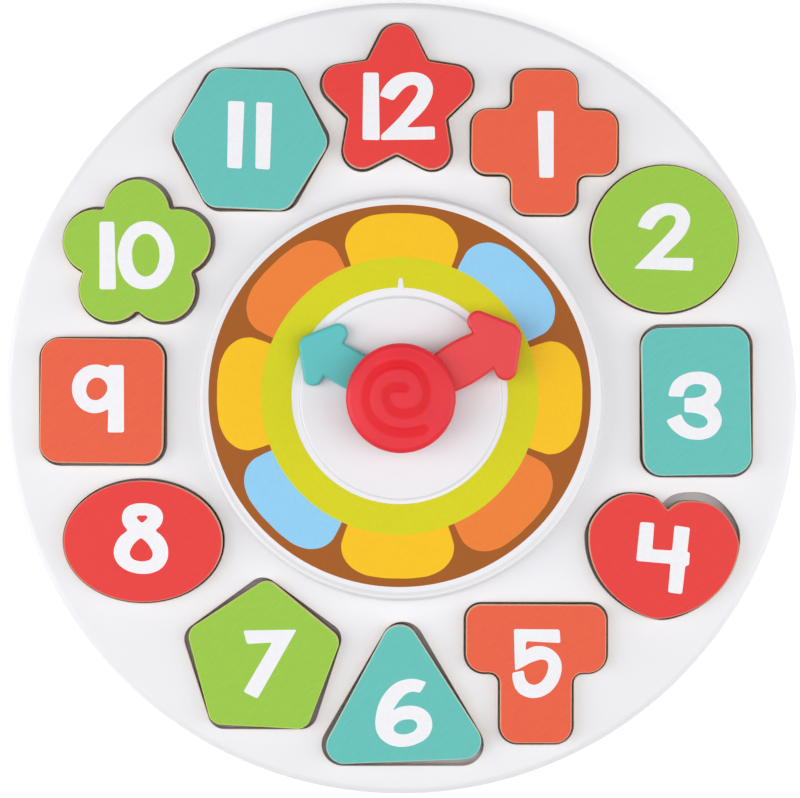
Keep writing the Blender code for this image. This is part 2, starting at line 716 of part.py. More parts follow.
def pocket_centre(hour, radius_share, offset):
    return polar(POCKET_CIRCLE_RADIUS * radius_share, 90 - 360 * hour / HOURS + offset)


def make_blocks():
    for hour, (name, layout) in enumerate(BLOCK_PLACES_AND_SHIFT_SHARES.items(), start=1):
        outline, look, radius_share, offset, play, turn, shift_shares = layout
        x, y = pocket_centre(hour, radius_share, offset)
        made = extruded(name, outline(0.0), 0, BLOCK_THICKNESS, look)
        at(made, x + shift_shares[0] * play, y + shift_shares[1] * play, BLOCK_BOTTOM, turn)


# Shell


def shell_profile():
    """The shell's section, from the middle of its upper side outwards and back inside."""
    edge = arc(
        (SHELL_RADIUS - TRAY_EDGE_ROUND, TRAY_FACE_HEIGHT - TRAY_EDGE_ROUND),
        TRAY_EDGE_ROUND,
        90,
        0,
        CORNER_FACETS,
    )
    rim = arc(
        (DIAL_TOP_RADIUS - DIAL_RIM_ROUND, DIAL_RIM_TOP - DIAL_RIM_ROUND),
        DIAL_RIM_ROUND,
        90,
        0,
        EDGE_FACETS,
    )
    return [
        (STEM_BORE_RADIUS, DIAL_UNDERSIDE),
        (STEM_BORE_RADIUS, SHOULDER_TOP),
        (SPRING_BORE_RADIUS, SHOULDER_TOP),
        (SPRING_BORE_RADIUS, POST_TOP),
        (POST_RADIUS, POST_TOP),
        (POST_RADIUS, DISC_TOP),
        (DISC_RADIUS - DISC_ROUND, DISC_TOP),
        (DISC_RADIUS, DISC_TOP - DISC_ROUND),
        (DISC_RADIUS, DIAL_FLOOR),
        (DIAL_RECESS_RADIUS, DIAL_FLOOR),
        (DIAL_RECESS_RADIUS, DIAL_RIM_TOP),
        *rim,
        (DIAL_BASE_RADIUS, TRAY_FACE_HEIGHT),
        *edge,
        (SHELL_RADIUS, FOOT_STAND + SHELL_FOOT_CHAMFER),
        (SHELL_RADIUS - SHELL_FOOT_CHAMFER, FOOT_STAND),
        (SHELL_INNER_RADIUS, FOOT_STAND),
        (SHELL_INNER_RADIUS, TRAY_UNDERSIDE),
        (DIAL_BASE_RADIUS - SHELL_WALL, TRAY_UNDERSIDE),
        (DIAL_TOP_RADIUS - SHELL_WALL, DIAL_UNDERSIDE),
    ]


def rim_screw_places():
    return [polar(RIM_SCREW_RADIUS, 15 + 360 * i / RIM_SCREWS) for i in range(RIM_SCREWS)]


def middle_screw_places():
    return [(MIDDLE_SCREW_RADIUS, 0), (-MIDDLE_SCREW_RADIUS, 0)]


def cover_screw_places():
    return rim_screw_places() + middle_screw_places()


def board_screw_places():
    return [(BOARD_SCREW_SPACING / 2, 0), (-BOARD_SCREW_SPACING / 2, 0)]


def bore(name, place, mouth, end):
    """A cutter for a screw's hole that runs up from its mouth to its end."""
    return at(rod(name, SCREW_HOLE_RADIUS, mouth - OVERRUN, end, facets=HOLE_FACETS), *place)


def tick_outline(grow):
    start = DISC_RADIUS + JOIN_OVERLAP
    end = STICKER_INNER_RADIUS + TICK_LENGTH
    half = [(TICK_WIDTH / 2, start), (TICK_TIP_WIDTH / 2, end)]
    return rounded_polygon(mirrored(half), [0, TICK_ROUND, TICK_ROUND, 0], grow, facets=EDGE_FACETS)


def make_shell():
    shell = turned("top_shell", shell_profile(), WHITE, SHELL_FACETS)
    additions = [extruded("tick", tick_outline(0.0), DIAL_FLOOR - JOIN_OVERLAP, DIAL_FLOOR + TICK_HEIGHT)]
    cuts = []
    for hour, (name, layout) in enumerate(BLOCK_PLACES_AND_SHIFT_SHARES.items(), start=1):
        outline, _, radius_share, offset, play, _, _ = layout
        place = pocket_centre(hour, radius_share, offset)
        tub = extruded(f"tub_{name}", outline(play + POCKET_WALL), TUB_BOTTOM, TRAY_UNDERSIDE + JOIN_OVERLAP)
        pocket = extruded(f"pocket_{name}", outline(play), TRAY_FLOOR_TOP, TRAY_FACE_HEIGHT + OVERRUN)
        additions.append(at(tub, *place))
        cuts.append(at(pocket, *place))
    boss_bottom = COVER_TOP + GAP
    bore_top = screw_bottom() + SCREW_HEAD_HEIGHT + SCREW_LENGTH + GAP
    for i, place in enumerate(rim_screw_places()):
        boss = rod(f"rim_boss_{i}", BOSS_RADIUS, boss_bottom, TRAY_UNDERSIDE + JOIN_OVERLAP)
        additions.append(at(boss, *place))
    for i, place in enumerate(middle_screw_places()):
        boss = rod(f"middle_boss_{i}", BOSS_RADIUS, boss_bottom, DIAL_UNDERSIDE + JOIN_OVERLAP)
        additions.append(at(boss, *place))
    for i, place in enumerate(cover_screw_places()):
        cuts.append(bore(f"boss_bore_{i}", place, boss_bottom, bore_top))
    for i, place in enumerate(board_screw_places()):
        post = rod(f"board_post_{i}", BOARD_POST_RADIUS, BOARD_TOP + GAP, DIAL_UNDERSIDE + JOIN_OVERLAP)
        additions.append(at(post, *place))
        cuts.append(bore(f"board_bore_{i}", place, BOARD_TOP, BOARD_BOTTOM + BOARD_SCREW_LENGTH))
    combine(shell, "UNION", additions)
    combine(shell, "DIFFERENCE", cuts)


# Cover, screws and feet


def screw_bottom():
    """Height of the underside of a cover screw's head, which is sunk in the cover."""
    return FOOT_STAND + COUNTERBORE_DEPTH - GAP - SCREW_HEAD_HEIGHT


def make_screw(name, place, bottom, head_height, length):
    """A pan head with its shank pointing up."""
    profile = [
        (0, 0),
        (SCREW_HEAD_RADIUS, 0),
        (SCREW_HEAD_RADIUS, head_height),
        (SCREW_SHANK_RADIUS, head_height),
        (SCREW_SHANK_RADIUS, head_height + length - SCREW_POINT),
        (0, head_height + length),
    ]
    return at(turned(name, profile, STEEL, SMALL_FACETS), *place, bottom)


def grille_places():
    """Hole centres on rings of six round a middle hole."""
    places = [(0, SPEAKER_PLACE_Y)]
    for ring in range(1, GRILLE_RINGS + 1):
        for side in range(6):
            for step in range(ring):
                ax, ay = polar(GRILLE_PITCH * ring, 60 * side)
                bx, by = polar(GRILLE_PITCH * ring, 60 * (side + 1))
                share = step / ring
                places.append((ax + (bx - ax) * share, SPEAKER_PLACE_Y + ay + (by - ay) * share))
    return places


def foot_places():
    return [polar(FOOT_CIRCLE_RADIUS, 45 + 360 * i / FEET) for i in range(FEET)]


def door_outline(grow):
    outline = box_outline(DOOR_LENGTH, DOOR_WIDTH, DOOR_CORNER_ROUND, grow)
    return [(x, y + DOOR_PLACE_Y) for x, y in outline]


def bay_box(name, grow, bottom, top):
    """A box round the battery bay."""
    size = (BAY_LENGTH + 2 * grow, BAY_WIDTH + 2 * grow)
    return slab(name, (0, BAY_PLACE_Y), size, bottom, top)


def cover_additions():
    ledge_top = DOOR_LEDGE + DOOR_FLANGE_THICKNESS
    flange = extruded("door_flange", door_outline(DOOR_FLANGE_WIDTH), FOOT_STAND + JOIN_OVERLAP, ledge_top)
    bay = bay_box("bay_walls", BAY_WALL, COVER_TOP - JOIN_OVERLAP, BAY_CEILING + BAY_WALL)
    boss = rod("door_boss", BOSS_RADIUS, ledge_top - JOIN_OVERLAP, ledge_top + DOOR_BOSS_HEIGHT)
    fence_inner = SPEAKER_RADIUS + GAP
    fence = turned(
        "speaker_fence",
        [
            (fence_inner, COVER_TOP - JOIN_OVERLAP),
            (fence_inner + SPEAKER_FENCE_WIDTH, COVER_TOP - JOIN_OVERLAP),
            (fence_inner + SPEAKER_FENCE_WIDTH, COVER_TOP + SPEAKER_FENCE_HEIGHT),
            (fence_inner, COVER_TOP + SPEAKER_FENCE_HEIGHT),
        ],
        facets=ROUND_FACETS,
    )
    additions = [flange, bay, at(boss, 0, DOOR_SCREW_Y), at(fence, 0, SPEAKER_PLACE_Y)]
    for side in (-1, 1):
        centre = (POWER_PLACE_X + side * (power_shelf_start() + POWER_SHELF_LENGTH / 2), POWER_PLACE_Y)
        size = (POWER_SHELF_LENGTH, POWER_BODY_WIDTH)
        top = power_body_bottom() - GAP
        additions.append(slab(f"switch_shelf_{side + 1}", centre, size, COVER_TOP - JOIN_OVERLAP, top))
    return additions


def cover_cuts():
    under = FOOT_STAND - OVERRUN
    over = COVER_TOP + OVERRUN
    cuts = [
        extruded("door_recess", door_outline(GAP), under, DOOR_LEDGE),
        bay_box("bay_room", 0.0, under, BAY_CEILING),
        bore("door_screw_bore", (0, DOOR_SCREW_Y), FOOT_STAND, door_screw_top() + GAP),
    ]
    for i, place in enumerate(cover_screw_places()):
        cuts.append(at(rod(f"screw_hole_{i}", SCREW_HOLE_RADIUS, under, over), *place))
        head = rod(f"counterbore_{i}", SCREW_HEAD_RADIUS + GAP, under, FOOT_STAND + COUNTERBORE_DEPTH)
        cuts.append(at(head, *place))
    for i, place in enumerate(grille_places()):
        cuts.append(at(rod(f"grille_hole_{i}", GRILLE_HOLE_RADIUS, under, over, facets=HOLE_FACETS), *place))
    recess_top = FOOT_STAND + FOOT_RECESS
    for i, place in enumerate(foot_places()):
        recess = rod(f"foot_recess_{i}", FOOT_RADIUS + GAP, under, recess_top, facets=FOOT_FACETS)
        cuts.append(at(recess, *place))
    slot_size = (POWER_TRAVEL + KNOB_LENGTH + 2 * GAP, KNOB_WIDTH + 2 * GAP)
    cuts.append(slab("power_slot", (POWER_PLACE_X, POWER_PLACE_Y), slot_size, under, over))
    return cuts


def make_cover():
    profile = [
        (0, FOOT_STAND),
        (COVER_RADIUS, FOOT_STAND),
        (COVER_RADIUS, COVER_TOP + COVER_LIP_HEIGHT),
        (COVER_RADIUS - COVER_LIP_WIDTH, COVER_TOP + COVER_LIP_HEIGHT),
        (COVER_RADIUS - COVER_LIP_WIDTH, COVER_TOP),
        (0, COVER_TOP),
    ]
    cover = turned("rear_cover", profile, WHITE, SHELL_FACETS)
    combine(cover, "UNION", cover_additions())
    combine(cover, "DIFFERENCE", cover_cuts())
    for i, place in enumerate(cover_screw_places(), start=1):
        make_screw(f"cover_screw_{i}", place, screw_bottom(), SCREW_HEAD_HEIGHT, SCREW_LENGTH)


def make_feet():
    top = FOOT_STAND + FOOT_RECESS - GAP
    for i, place in enumerate(foot_places(), start=1):
        profile = [
            (0, 0),
            (FOOT_RADIUS - FOOT_ROUND, 0),
            (FOOT_RADIUS, FOOT_ROUND),
            (FOOT_RADIUS, top),
            (0, top),
        ]
        at(turned(f"rubber_foot_{i}", profile, RUBBER_GREY, FOOT_FACETS), *place)


# Dial and hands


def make_sticker():
    bottom = DIAL_FLOOR + STICKER_SEAT
    top = bottom + STICKER_THICKNESS
    profile = [
        (STICKER_INNER_RADIUS, bottom),
        (STICKER_OUTER_RADIUS, bottom),
        (STICKER_OUTER_RADIUS, top),
        (STICKER_INNER_RADIUS, top),
    ]
    sticker = turned("dial_sticker", profile, STICKER_BROWN, SHELL_FACETS)
    at(sticker, STICKER_SHIFT_X, STICKER_SHIFT_Y)
    notch = extruded("sticker_notch", tick_outline(GAP), bottom - OVERRUN, top + OVERRUN)
    combine(sticker, "DIFFERENCE", [notch])


def ring_profile(inner, outer, bottom, top):
    return [(inner, bottom), (outer, bottom), (outer, top), (inner, top)]


def make_hour_hand():
    outline = arrow_outline(
        HOUR_RING_RADIUS - HAND_ROOT_OVERLAP,
        HOUR_SHAFT_WIDTH,
        HOUR_HEAD_START,
        HOUR_NOSE,
        HOUR_NOSE_ROUND,
        HOUR_BARB_REACH,
        HOUR_BARB_ROUND,
    )
    hand = extruded("hour_hand", outline, 0, HOUR_THICKNESS, TEAL)
    at(hand, 0, 0, HOUR_BOTTOM, HOUR_ANGLE)
    ring = ring_profile(HAND_BORE_RADIUS, HOUR_RING_RADIUS, HOUR_BOTTOM, HOUR_TOP)
    combine(hand, "UNION", [turned("hour_ring", ring)])


def make_minute_hand():
    outline = arrow_outline(
        MINUTE_RING_RADIUS - HAND_ROOT_OVERLAP,
        MINUTE_SHAFT_WIDTH,
        MINUTE_HEAD_START,
        MINUTE_NOSE,
        MINUTE_NOSE_ROUND,
        MINUTE_BARB_REACH,
        MINUTE_BARB_ROUND,
    )
    hand = extruded("minute_hand", outline, 0, MINUTE_THICKNESS, HAND_RED)
    at(hand, 0, 0, MINUTE_BOTTOM, MINUTE_ANGLE)
    ring = ring_profile(HAND_BORE_RADIUS, MINUTE_RING_RADIUS, MINUTE_BOTTOM, MINUTE_TOP)
    combine(hand, "UNION", [turned("minute_ring", ring)])


def make_hand_hardware():
    spacer = ring_profile(HAND_BORE_RADIUS, HAND_BORE_RADIUS + SPACER_WIDTH, SPACER_BOTTOM, SPACER_TOP)
    turned("hand_spacer", spacer, WHITE)
    retainer_bore = POST_RADIUS + GAP
    retainer = ring_profile(retainer_bore, retainer_bore + RETAINER_WIDTH, RETAINER_BOTTOM, RETAINER_TOP)
    turned("hand_retainer", retainer, WHITE)


# Button


def dome_points():
    """The button's upper side, from its edge to the middle, on one wide arc."""
    reach = BUTTON_RADIUS - BUTTON_EDGE_ROUND
    radius = (reach**2 + BUTTON_DOME_RISE**2) / (2 * BUTTON_DOME_RISE)
    points = []
    for step in range(CORNER_FACETS + 1, -1, -1):
        across = reach * step / (CORNER_FACETS + 1)
        points.append((across, BUTTON_TOP - radius + math.sqrt(radius**2 - across**2)))
    return points


def make_button():
    edge_top = BUTTON_TOP - BUTTON_DOME_RISE
    edge = arc(
        (BUTTON_RADIUS - BUTTON_EDGE_ROUND, edge_top - BUTTON_EDGE_ROUND),
        BUTTON_EDGE_ROUND,
        0,
        90,
        EDGE_FACETS,
    )
    socket = STEM_RADIUS + GAP
    profile = [
        (0, BUTTON_CEILING + STEM_SOCKET_DEPTH),
        (socket, BUTTON_CEILING + STEM_SOCKET_DEPTH),
        (socket, BUTTON_CEILING),
        (BUTTON_RADIUS - BUTTON_WALL, BUTTON_CEILING),
        (BUTTON_RADIUS - BUTTON_WALL, BUTTON_BOTTOM),
        (BUTTON_RADIUS, BUTTON_BOTTOM),
        *edge[:-1],
        *dome_points(),
    ]
    turned("centre_button", profile, BUTTON_RED, ROUND_FACETS + SMALL_FACETS)
    waist = STEM_RADIUS - CLIP_GROOVE_DEPTH
    stem_top = BUTTON_CEILING + STEM_SOCKET_DEPTH - GAP
    stem = [
        (0, STEM_BOTTOM),
        (STEM_RADIUS, STEM_BOTTOM),
        (STEM_RADIUS, CLIP_BOTTOM - GAP),
        (waist, CLIP_BOTTOM - GAP),
        (waist, CLIP_TOP + GAP),
        (STEM_RADIUS, CLIP_TOP + GAP),
        (STEM_RADIUS, stem_top),
        (0, stem_top),
    ]
    turned("button_stem", stem, WHITE, SMALL_FACETS)
    turned("button_clip", ring_profile(waist + GAP, CLIP_RADIUS, CLIP_BOTTOM, CLIP_TOP), STEEL, SMALL_FACETS)


def helix(radius, bottom, top, turns, end_radius):
    """Points that climb from bottom to top, from one radius to another."""
    count = turns * TURN_POINTS
    points = []
    for step in range(count + 1):
        share = step / count
        x, y = polar(radius + (end_radius - radius) * share, 360 * step / TURN_POINTS)
        points.append((x, y, bottom + (top - bottom) * share))
    return points


def make_button_spring():
    bottom = SHOULDER_TOP + GAP + SPRING_WIRE_RADIUS
    top = BUTTON_CEILING - GAP - SPRING_WIRE_RADIUS
    coil = SPRING_BORE_RADIUS - GAP - SPRING_WIRE_RADIUS
    tube_along("button_spring", helix(coil, bottom, top, SPRING_TURNS, coil), SPRING_WIRE_RADIUS, STEEL)


# Electronics


def make_board():
    outline = box_outline(BOARD_LENGTH, BOARD_WIDTH, BOARD_ROUND)
    board = extruded("circuit_board", outline, BOARD_BOTTOM, BOARD_TOP, BOARD_GREEN)
    chip_size = (CHIP_LENGTH, CHIP_WIDTH)
    chip_bottom = BOARD_BOTTOM - CHIP_HEIGHT
    chip = slab("sound_chip", (0, CHIP_OFFSET), chip_size, chip_bottom, BOARD_BOTTOM + JOIN_OVERLAP)
    combine(board, "UNION", [chip])
    holes = []
    bottom = BOARD_BOTTOM - GAP - SCREW_HEAD_HEIGHT
    for i, place in enumerate(board_screw_places(), start=1):
        holes.append(bore(f"board_hole_{i}", place, BOARD_BOTTOM, BOARD_TOP + OVERRUN))
        make_screw(f"board_screw_{i}", place, bottom, SCREW_HEAD_HEIGHT, BOARD_SCREW_LENGTH)
    combine(board, "DIFFERENCE", holes)


def make_button_switch():
    size = (SWITCH_BODY_SIDE, SWITCH_BODY_SIDE)
    top = SWITCH_BOTTOM + SWITCH_BODY_HEIGHT
    switch = slab("tact_switch", (0, 0), size, SWITCH_BOTTOM, top, SWITCH_BLACK)
    combine(switch, "UNION", [rod("plunger", PLUNGER_RADIUS, top - JOIN_OVERLAP, PLUNGER_TOP)])


def make_lamps():
    for i, side in enumerate((-1, 1), start=1):
        dome = arc((0, LAMP_HEIGHT - LAMP_RADIUS), LAMP_RADIUS, 0, 90, CORNER_FACETS)
        profile = [(0, 0), (LAMP_RADIUS, 0), *dome[:-1], (0, LAMP_HEIGHT)]
        lamp = turned(f"button_lamp_{i}", profile, LAMP_CLEAR, SMALL_FACETS)
        at(lamp, side * LAMP_SPACING / 2, 0, SWITCH_BOTTOM)


def make_speaker():
    """The frame stands on the cover, over the grille, inside its fence."""
    bottom = COVER_TOP + GAP
    rim_inner = SPEAKER_RADIUS - SPEAKER_RIM_WIDTH
    throat = MAGNET_RADIUS - SPEAKER_RIM_WIDTH
    basket_top = bottom + SPEAKER_BASKET_HEIGHT
    frame = [
        (rim_inner, bottom),
        (SPEAKER_RADIUS, bottom),
        (SPEAKER_RADIUS, bottom + SPEAKER_RIM_HEIGHT + SPEAKER_SHEET),
        (rim_inner + SPEAKER_SHEET, bottom + SPEAKER_RIM_HEIGHT + SPEAKER_SHEET),
        (SPEAKER_BASKET_RADIUS + SPEAKER_SHEET, basket_top),
        (throat, basket_top),
        (throat, basket_top - SPEAKER_SHEET),
        (SPEAKER_BASKET_RADIUS, basket_top - SPEAKER_SHEET),
        (rim_inner, bottom + SPEAKER_RIM_HEIGHT),
    ]
    at(turned("speaker_frame", frame, STEEL, FOOT_FACETS), 0, SPEAKER_PLACE_Y)
    cone_edge = rim_inner - GAP
    cone_top = bottom + CONE_DROP
    cone = [
        (0, cone_top),
        (CONE_THROAT_RADIUS, cone_top),
        (cone_edge, bottom),
        (cone_edge, bottom + CONE_SHEET),
        (CONE_THROAT_RADIUS, cone_top + CONE_SHEET),
        (0, cone_top + CONE_SHEET),
    ]
    at(turned("speaker_cone", cone, CONE_BLACK, FOOT_FACETS), 0, SPEAKER_PLACE_Y)
    magnet_bottom = basket_top + GAP
    magnet_top = magnet_bottom + MAGNET_HEIGHT
    magnet = rod("speaker_magnet", MAGNET_RADIUS, magnet_bottom, magnet_top, STEEL, FOOT_FACETS)
    at(magnet, 0, SPEAKER_PLACE_Y)


# Batteries


def cell_rows():
    """Each cell: number, its Y place, and which way its raised end points."""
    return (
        (1, BAY_PLACE_Y - CELL_PITCH / 2, 1),
        (2, BAY_PLACE_Y + CELL_PITCH / 2, -1),
    )


def lying(thing, x, y, side):
    """Lays a piece turned round the vertical axis along X, its top towards the side given."""
    thing.location = (x, y, CELL_HEIGHT)
    thing.rotation_euler = (0, side * math.pi / 2, 0)
    return thing


def make_batteries():
    end_plate = BAY_LENGTH / 2 - GAP
    nub_place = end_plate - CONTACT_SHEET - GAP
    spring_bottom = GAP + SPRING_WIRE_RADIUS
    spring_top = BAY_SPRING_ROOM - SPRING_WIRE_RADIUS
    for number, y, side in cell_rows():
        profile = [
            (0, 0),
            (CELL_RADIUS, 0),
            (CELL_RADIUS, CELL_LENGTH - CELL_NUB_LENGTH),
            (CELL_NUB_RADIUS, CELL_LENGTH - CELL_NUB_LENGTH),
            (CELL_NUB_RADIUS, CELL_LENGTH),
            (0, CELL_LENGTH),
        ]
        cell = turned(f"battery_{number}", profile, CELL_JACKET, FOOT_FACETS)
        lying(cell, side * (nub_place - CELL_LENGTH), y, side)
        coil = helix(CELL_SPRING_RADIUS, spring_bottom, spring_top, CELL_SPRING_TURNS, CELL_SPRING_TIP_RADIUS)
        spring = tube_along(f"battery_spring_{number}", coil, SPRING_WIRE_RADIUS, NICKEL)
        lying(spring, -side * (end_plate - CONTACT_SHEET), y, side)
    plate_bottom = CELL_HEIGHT - CONTACT_WIDTH / 2
    plate_top = CELL_HEIGHT + CONTACT_WIDTH / 2
    plate_x = end_plate - CONTACT_SHEET / 2
    bridge_size = (CONTACT_SHEET, CELL_PITCH + CONTACT_WIDTH)
    slab("contact_bridge", (-plate_x, BAY_PLACE_Y), bridge_size, plate_bottom, plate_top, NICKEL)
    for (_, y, _), name in zip(cell_rows(), ("contact_positive", "contact_negative")):
        slab(name, (plate_x, y), (CONTACT_SHEET, CONTACT_WIDTH), plate_bottom, plate_top, NICKEL)


def door_screw_bottom():
    return FOOT_STAND + DOOR_COUNTERBORE - DOOR_SCREW_HEAD_HEIGHT


def door_screw_top():
    return door_screw_bottom() + DOOR_SCREW_HEAD_HEIGHT + DOOR_SCREW_LENGTH


def make_door():
    door = extruded("battery_door", door_outline(0.0), FOOT_STAND, DOOR_TOP, WHITE)
    under = FOOT_STAND - OVERRUN
    seat = door_screw_bottom() + DOOR_SCREW_HEAD_HEIGHT + GAP
    head = rod("door_counterbore", SCREW_HEAD_RADIUS + GAP, under, seat)
    hole = rod("door_hole", SCREW_HOLE_RADIUS, seat - OVERRUN, DOOR_TOP + OVERRUN)
    combine(door, "DIFFERENCE", [at(head, 0, DOOR_SCREW_Y), at(hole, 0, DOOR_SCREW_Y)])
    place = (0, DOOR_SCREW_Y)
    make_screw("battery_door_screw", place, door_screw_bottom(), DOOR_SCREW_HEAD_HEIGHT, DOOR_SCREW_LENGTH)


# Power switch


def power_shelf_start():
    """Where the switch body's supports start, clear of the sliding knob."""
    return (KNOB_FLANGE_LENGTH + POWER_TRAVEL) / 2 + GAP


def power_body_bottom():
    return COVER_TOP + GAP + KNOB_FLANGE_THICKNESS + GAP


def make_power_switch():
    body_size = (2 * (power_shelf_start() + POWER_SHELF_LENGTH), POWER_BODY_WIDTH)
    bottom = power_body_bottom()
    top = bottom + POWER_BODY_HEIGHT
    slab("power_switch_body", (POWER_PLACE_X, POWER_PLACE_Y), body_size, bottom, top, STEEL)
    knob_place = (POWER_PLACE_X - POWER_TRAVEL / 2, POWER_PLACE_Y)
    flange_bottom = COVER_TOP + GAP
    flange_top = flange_bottom + KNOB_FLANGE_THICKNESS
    flange_size = (KNOB_FLANGE_LENGTH, KNOB_FLANGE_WIDTH)
    knob = slab("power_switch_knob", (0, 0), flange_size, flange_bottom, flange_top, KNOB_GREY)
    at(knob, *knob_place)
    grip_bottom = FOOT_STAND - KNOB_PROUD
    grip = slab("knob_grip", knob_place, (KNOB_LENGTH, KNOB_WIDTH), grip_bottom, flange_bottom + JOIN_OVERLAP)
    combine(knob, "UNION", [grip])


def main():
    clear_scene()
    make_blocks()
    make_shell()
    make_cover()
    make_feet()
    make_sticker()
    make_hour_hand()
    make_minute_hand()
    make_hand_hardware()
    make_button()
    make_button_spring()
    make_board()
    make_button_switch()
    make_lamps()
    make_speaker()
    make_batteries()
    make_door()
    make_power_switch()


main()
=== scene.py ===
import math

import bmesh
import bpy
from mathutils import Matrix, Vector
from mathutils.kdtree import KDTree


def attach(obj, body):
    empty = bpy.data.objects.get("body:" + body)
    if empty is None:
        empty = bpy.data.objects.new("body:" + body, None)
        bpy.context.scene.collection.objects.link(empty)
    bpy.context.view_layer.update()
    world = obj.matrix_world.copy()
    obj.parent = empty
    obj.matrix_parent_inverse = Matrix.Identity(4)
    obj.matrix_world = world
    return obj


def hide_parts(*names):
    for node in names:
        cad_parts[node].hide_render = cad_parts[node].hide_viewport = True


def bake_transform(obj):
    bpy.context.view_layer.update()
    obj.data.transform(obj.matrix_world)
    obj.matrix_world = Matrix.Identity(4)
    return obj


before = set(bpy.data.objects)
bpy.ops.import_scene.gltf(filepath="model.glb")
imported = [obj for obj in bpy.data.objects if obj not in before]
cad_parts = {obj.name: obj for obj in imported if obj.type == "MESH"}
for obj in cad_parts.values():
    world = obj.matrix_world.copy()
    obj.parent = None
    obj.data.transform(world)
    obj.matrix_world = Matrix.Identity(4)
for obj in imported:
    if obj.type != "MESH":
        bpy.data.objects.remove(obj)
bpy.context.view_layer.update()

# Lengths are in millimetres here and are made metres where a mesh is drawn
MM = 0.001

# Heights of the toy's levels above the table
TABLE_GAP = 1.2
FLOOR = -0.2
SCREW_FACE = 1.3
FEET = [(76.37, 76.37), (-76.37, 76.37), (-76.37, -76.37), (76.37, -76.37)]
POCKET_FLOOR = 18.0
TRAY_UNDERSIDE = 22.8
TRAY_FACE = 25.0
BLOCK_BOTTOM = 18.3
BLOCK_TOP = 29.3
DIAL_UNDERSIDE = 30.1
DIAL_FLOOR = 32.6
DIAL_RIM_TOP = 33.2
DISC_TOP = 33.4
LABEL_BACK = 32.62
STICKER_TOP = 32.7
TICK_TOP = 33.0
POST_TOP = 43.5
BUTTON_TOP = 47.9

POCKET_CIRCLE = 100.6
SHELL_RADIUS = 135.0
DIAL_RADIUS = 69.8
POST_RADIUS = 6.0
HAND_BORE = 6.3
LIP = 0.3
TUB_WALL = 1.8
TUB_FOOT = 16.0

# How far one part of the tray runs into the next, so that they join
JOIN = 0.6

# Screw bosses under the tray
RIM_SCREW_CIRCLE = 124.0
MIDDLE_SCREW = 57.0
BOARD_SCREW = 21.0
BOSS_RADIUS = 3.6
BOSS_FOOT = 3.9
SCREW_BORE = 1.6
SCREW_BORE_FOOT = 2.9
SCREW_BORE_TOP = 11.6


# Picking and small steps


def only(thing=None):
    """Leaves one piece picked, out of edit mode."""
    if bpy.context.mode != "OBJECT":
        bpy.ops.object.mode_set(mode="OBJECT")
    bpy.ops.object.select_all(action="DESELECT")
    if thing:
        thing.select_set(True)
        bpy.context.view_layer.objects.active = thing
    return thing


def pick(thing, kind, test):
    """Goes into edit mode with the verts, edges or faces picked that pass the test."""
    only(thing)
    bpy.ops.object.mode_set(mode="EDIT")
    bpy.ops.mesh.select_mode(type={"verts": "VERT", "edges": "EDGE", "faces": "FACE"}[kind])
    bpy.ops.mesh.select_all(action="DESELECT")
    shape = bmesh.from_edit_mesh(thing.data)
    for item in getattr(shape, kind):
        if test(item):
            item.select_set(True)
    shape.select_flush_mode()
    bmesh.update_edit_mesh(thing.data)


def everything(item):
    return True


def apply_place(thing):
    bpy.ops.object.transform_apply(location=True, rotation=True, scale=True)
    return thing


def face_outwards(thing):
    pick(thing, "faces", everything)
    bpy.ops.mesh.normals_make_consistent(inside=False)
    return only(thing)


def merge_points(thing, distance=0.000002):
    pick(thing, "verts", everything)
    bpy.ops.mesh.remove_doubles(threshold=distance)
    return only(thing)


def smooth(thing, degrees=30):
    only(thing)
    bpy.ops.object.shade_smooth_by_angle(angle=math.radians(degrees))
    return thing


def at_height(z, slack=0.02):
    """Picks edges that lie level at a height, where a level face meets a steep one."""

    def test(edge):
        level = all(abs(corner.co.z - z * MM) < slack * MM for corner in edge.verts)
        return level and len(edge.link_faces) == 2 and edge.calc_face_angle(0) > math.radians(50)

    return test


def round_edges(thing, test, width, segments=3):
    pick(thing, "edges", test)
    bpy.ops.mesh.bevel(offset=width * MM, segments=segments, profile=0.5, affect="EDGES")
    return only(thing)


def weigh_normals(thing):
    """Keeps wide flat faces flat beside small rounded edges."""
    only(thing)
    bpy.ops.object.modifier_add(type="WEIGHTED_NORMAL")
    step = thing.modifiers[-1]
    step.keep_sharp = True
    bpy.ops.object.modifier_apply(modifier=step.name)
    return thing


# Outlines, as points in millimetres that run anticlockwise


def polar(radius, degrees):
    angle = math.radians(degrees)
    return radius * math.cos(angle), radius * math.sin(angle)


def arc(centre, radius, first, last, steps):
    points = []
    for step in range(steps + 1):
        x, y = polar(radius, first + (last - first) * step / steps)
        points.append((centre[0] + x, centre[1] + y))
    return points


def heading(a, b):
    length = math.dist(a, b)
    return (b[0] - a[0]) / length, (b[1] - a[1]) / length


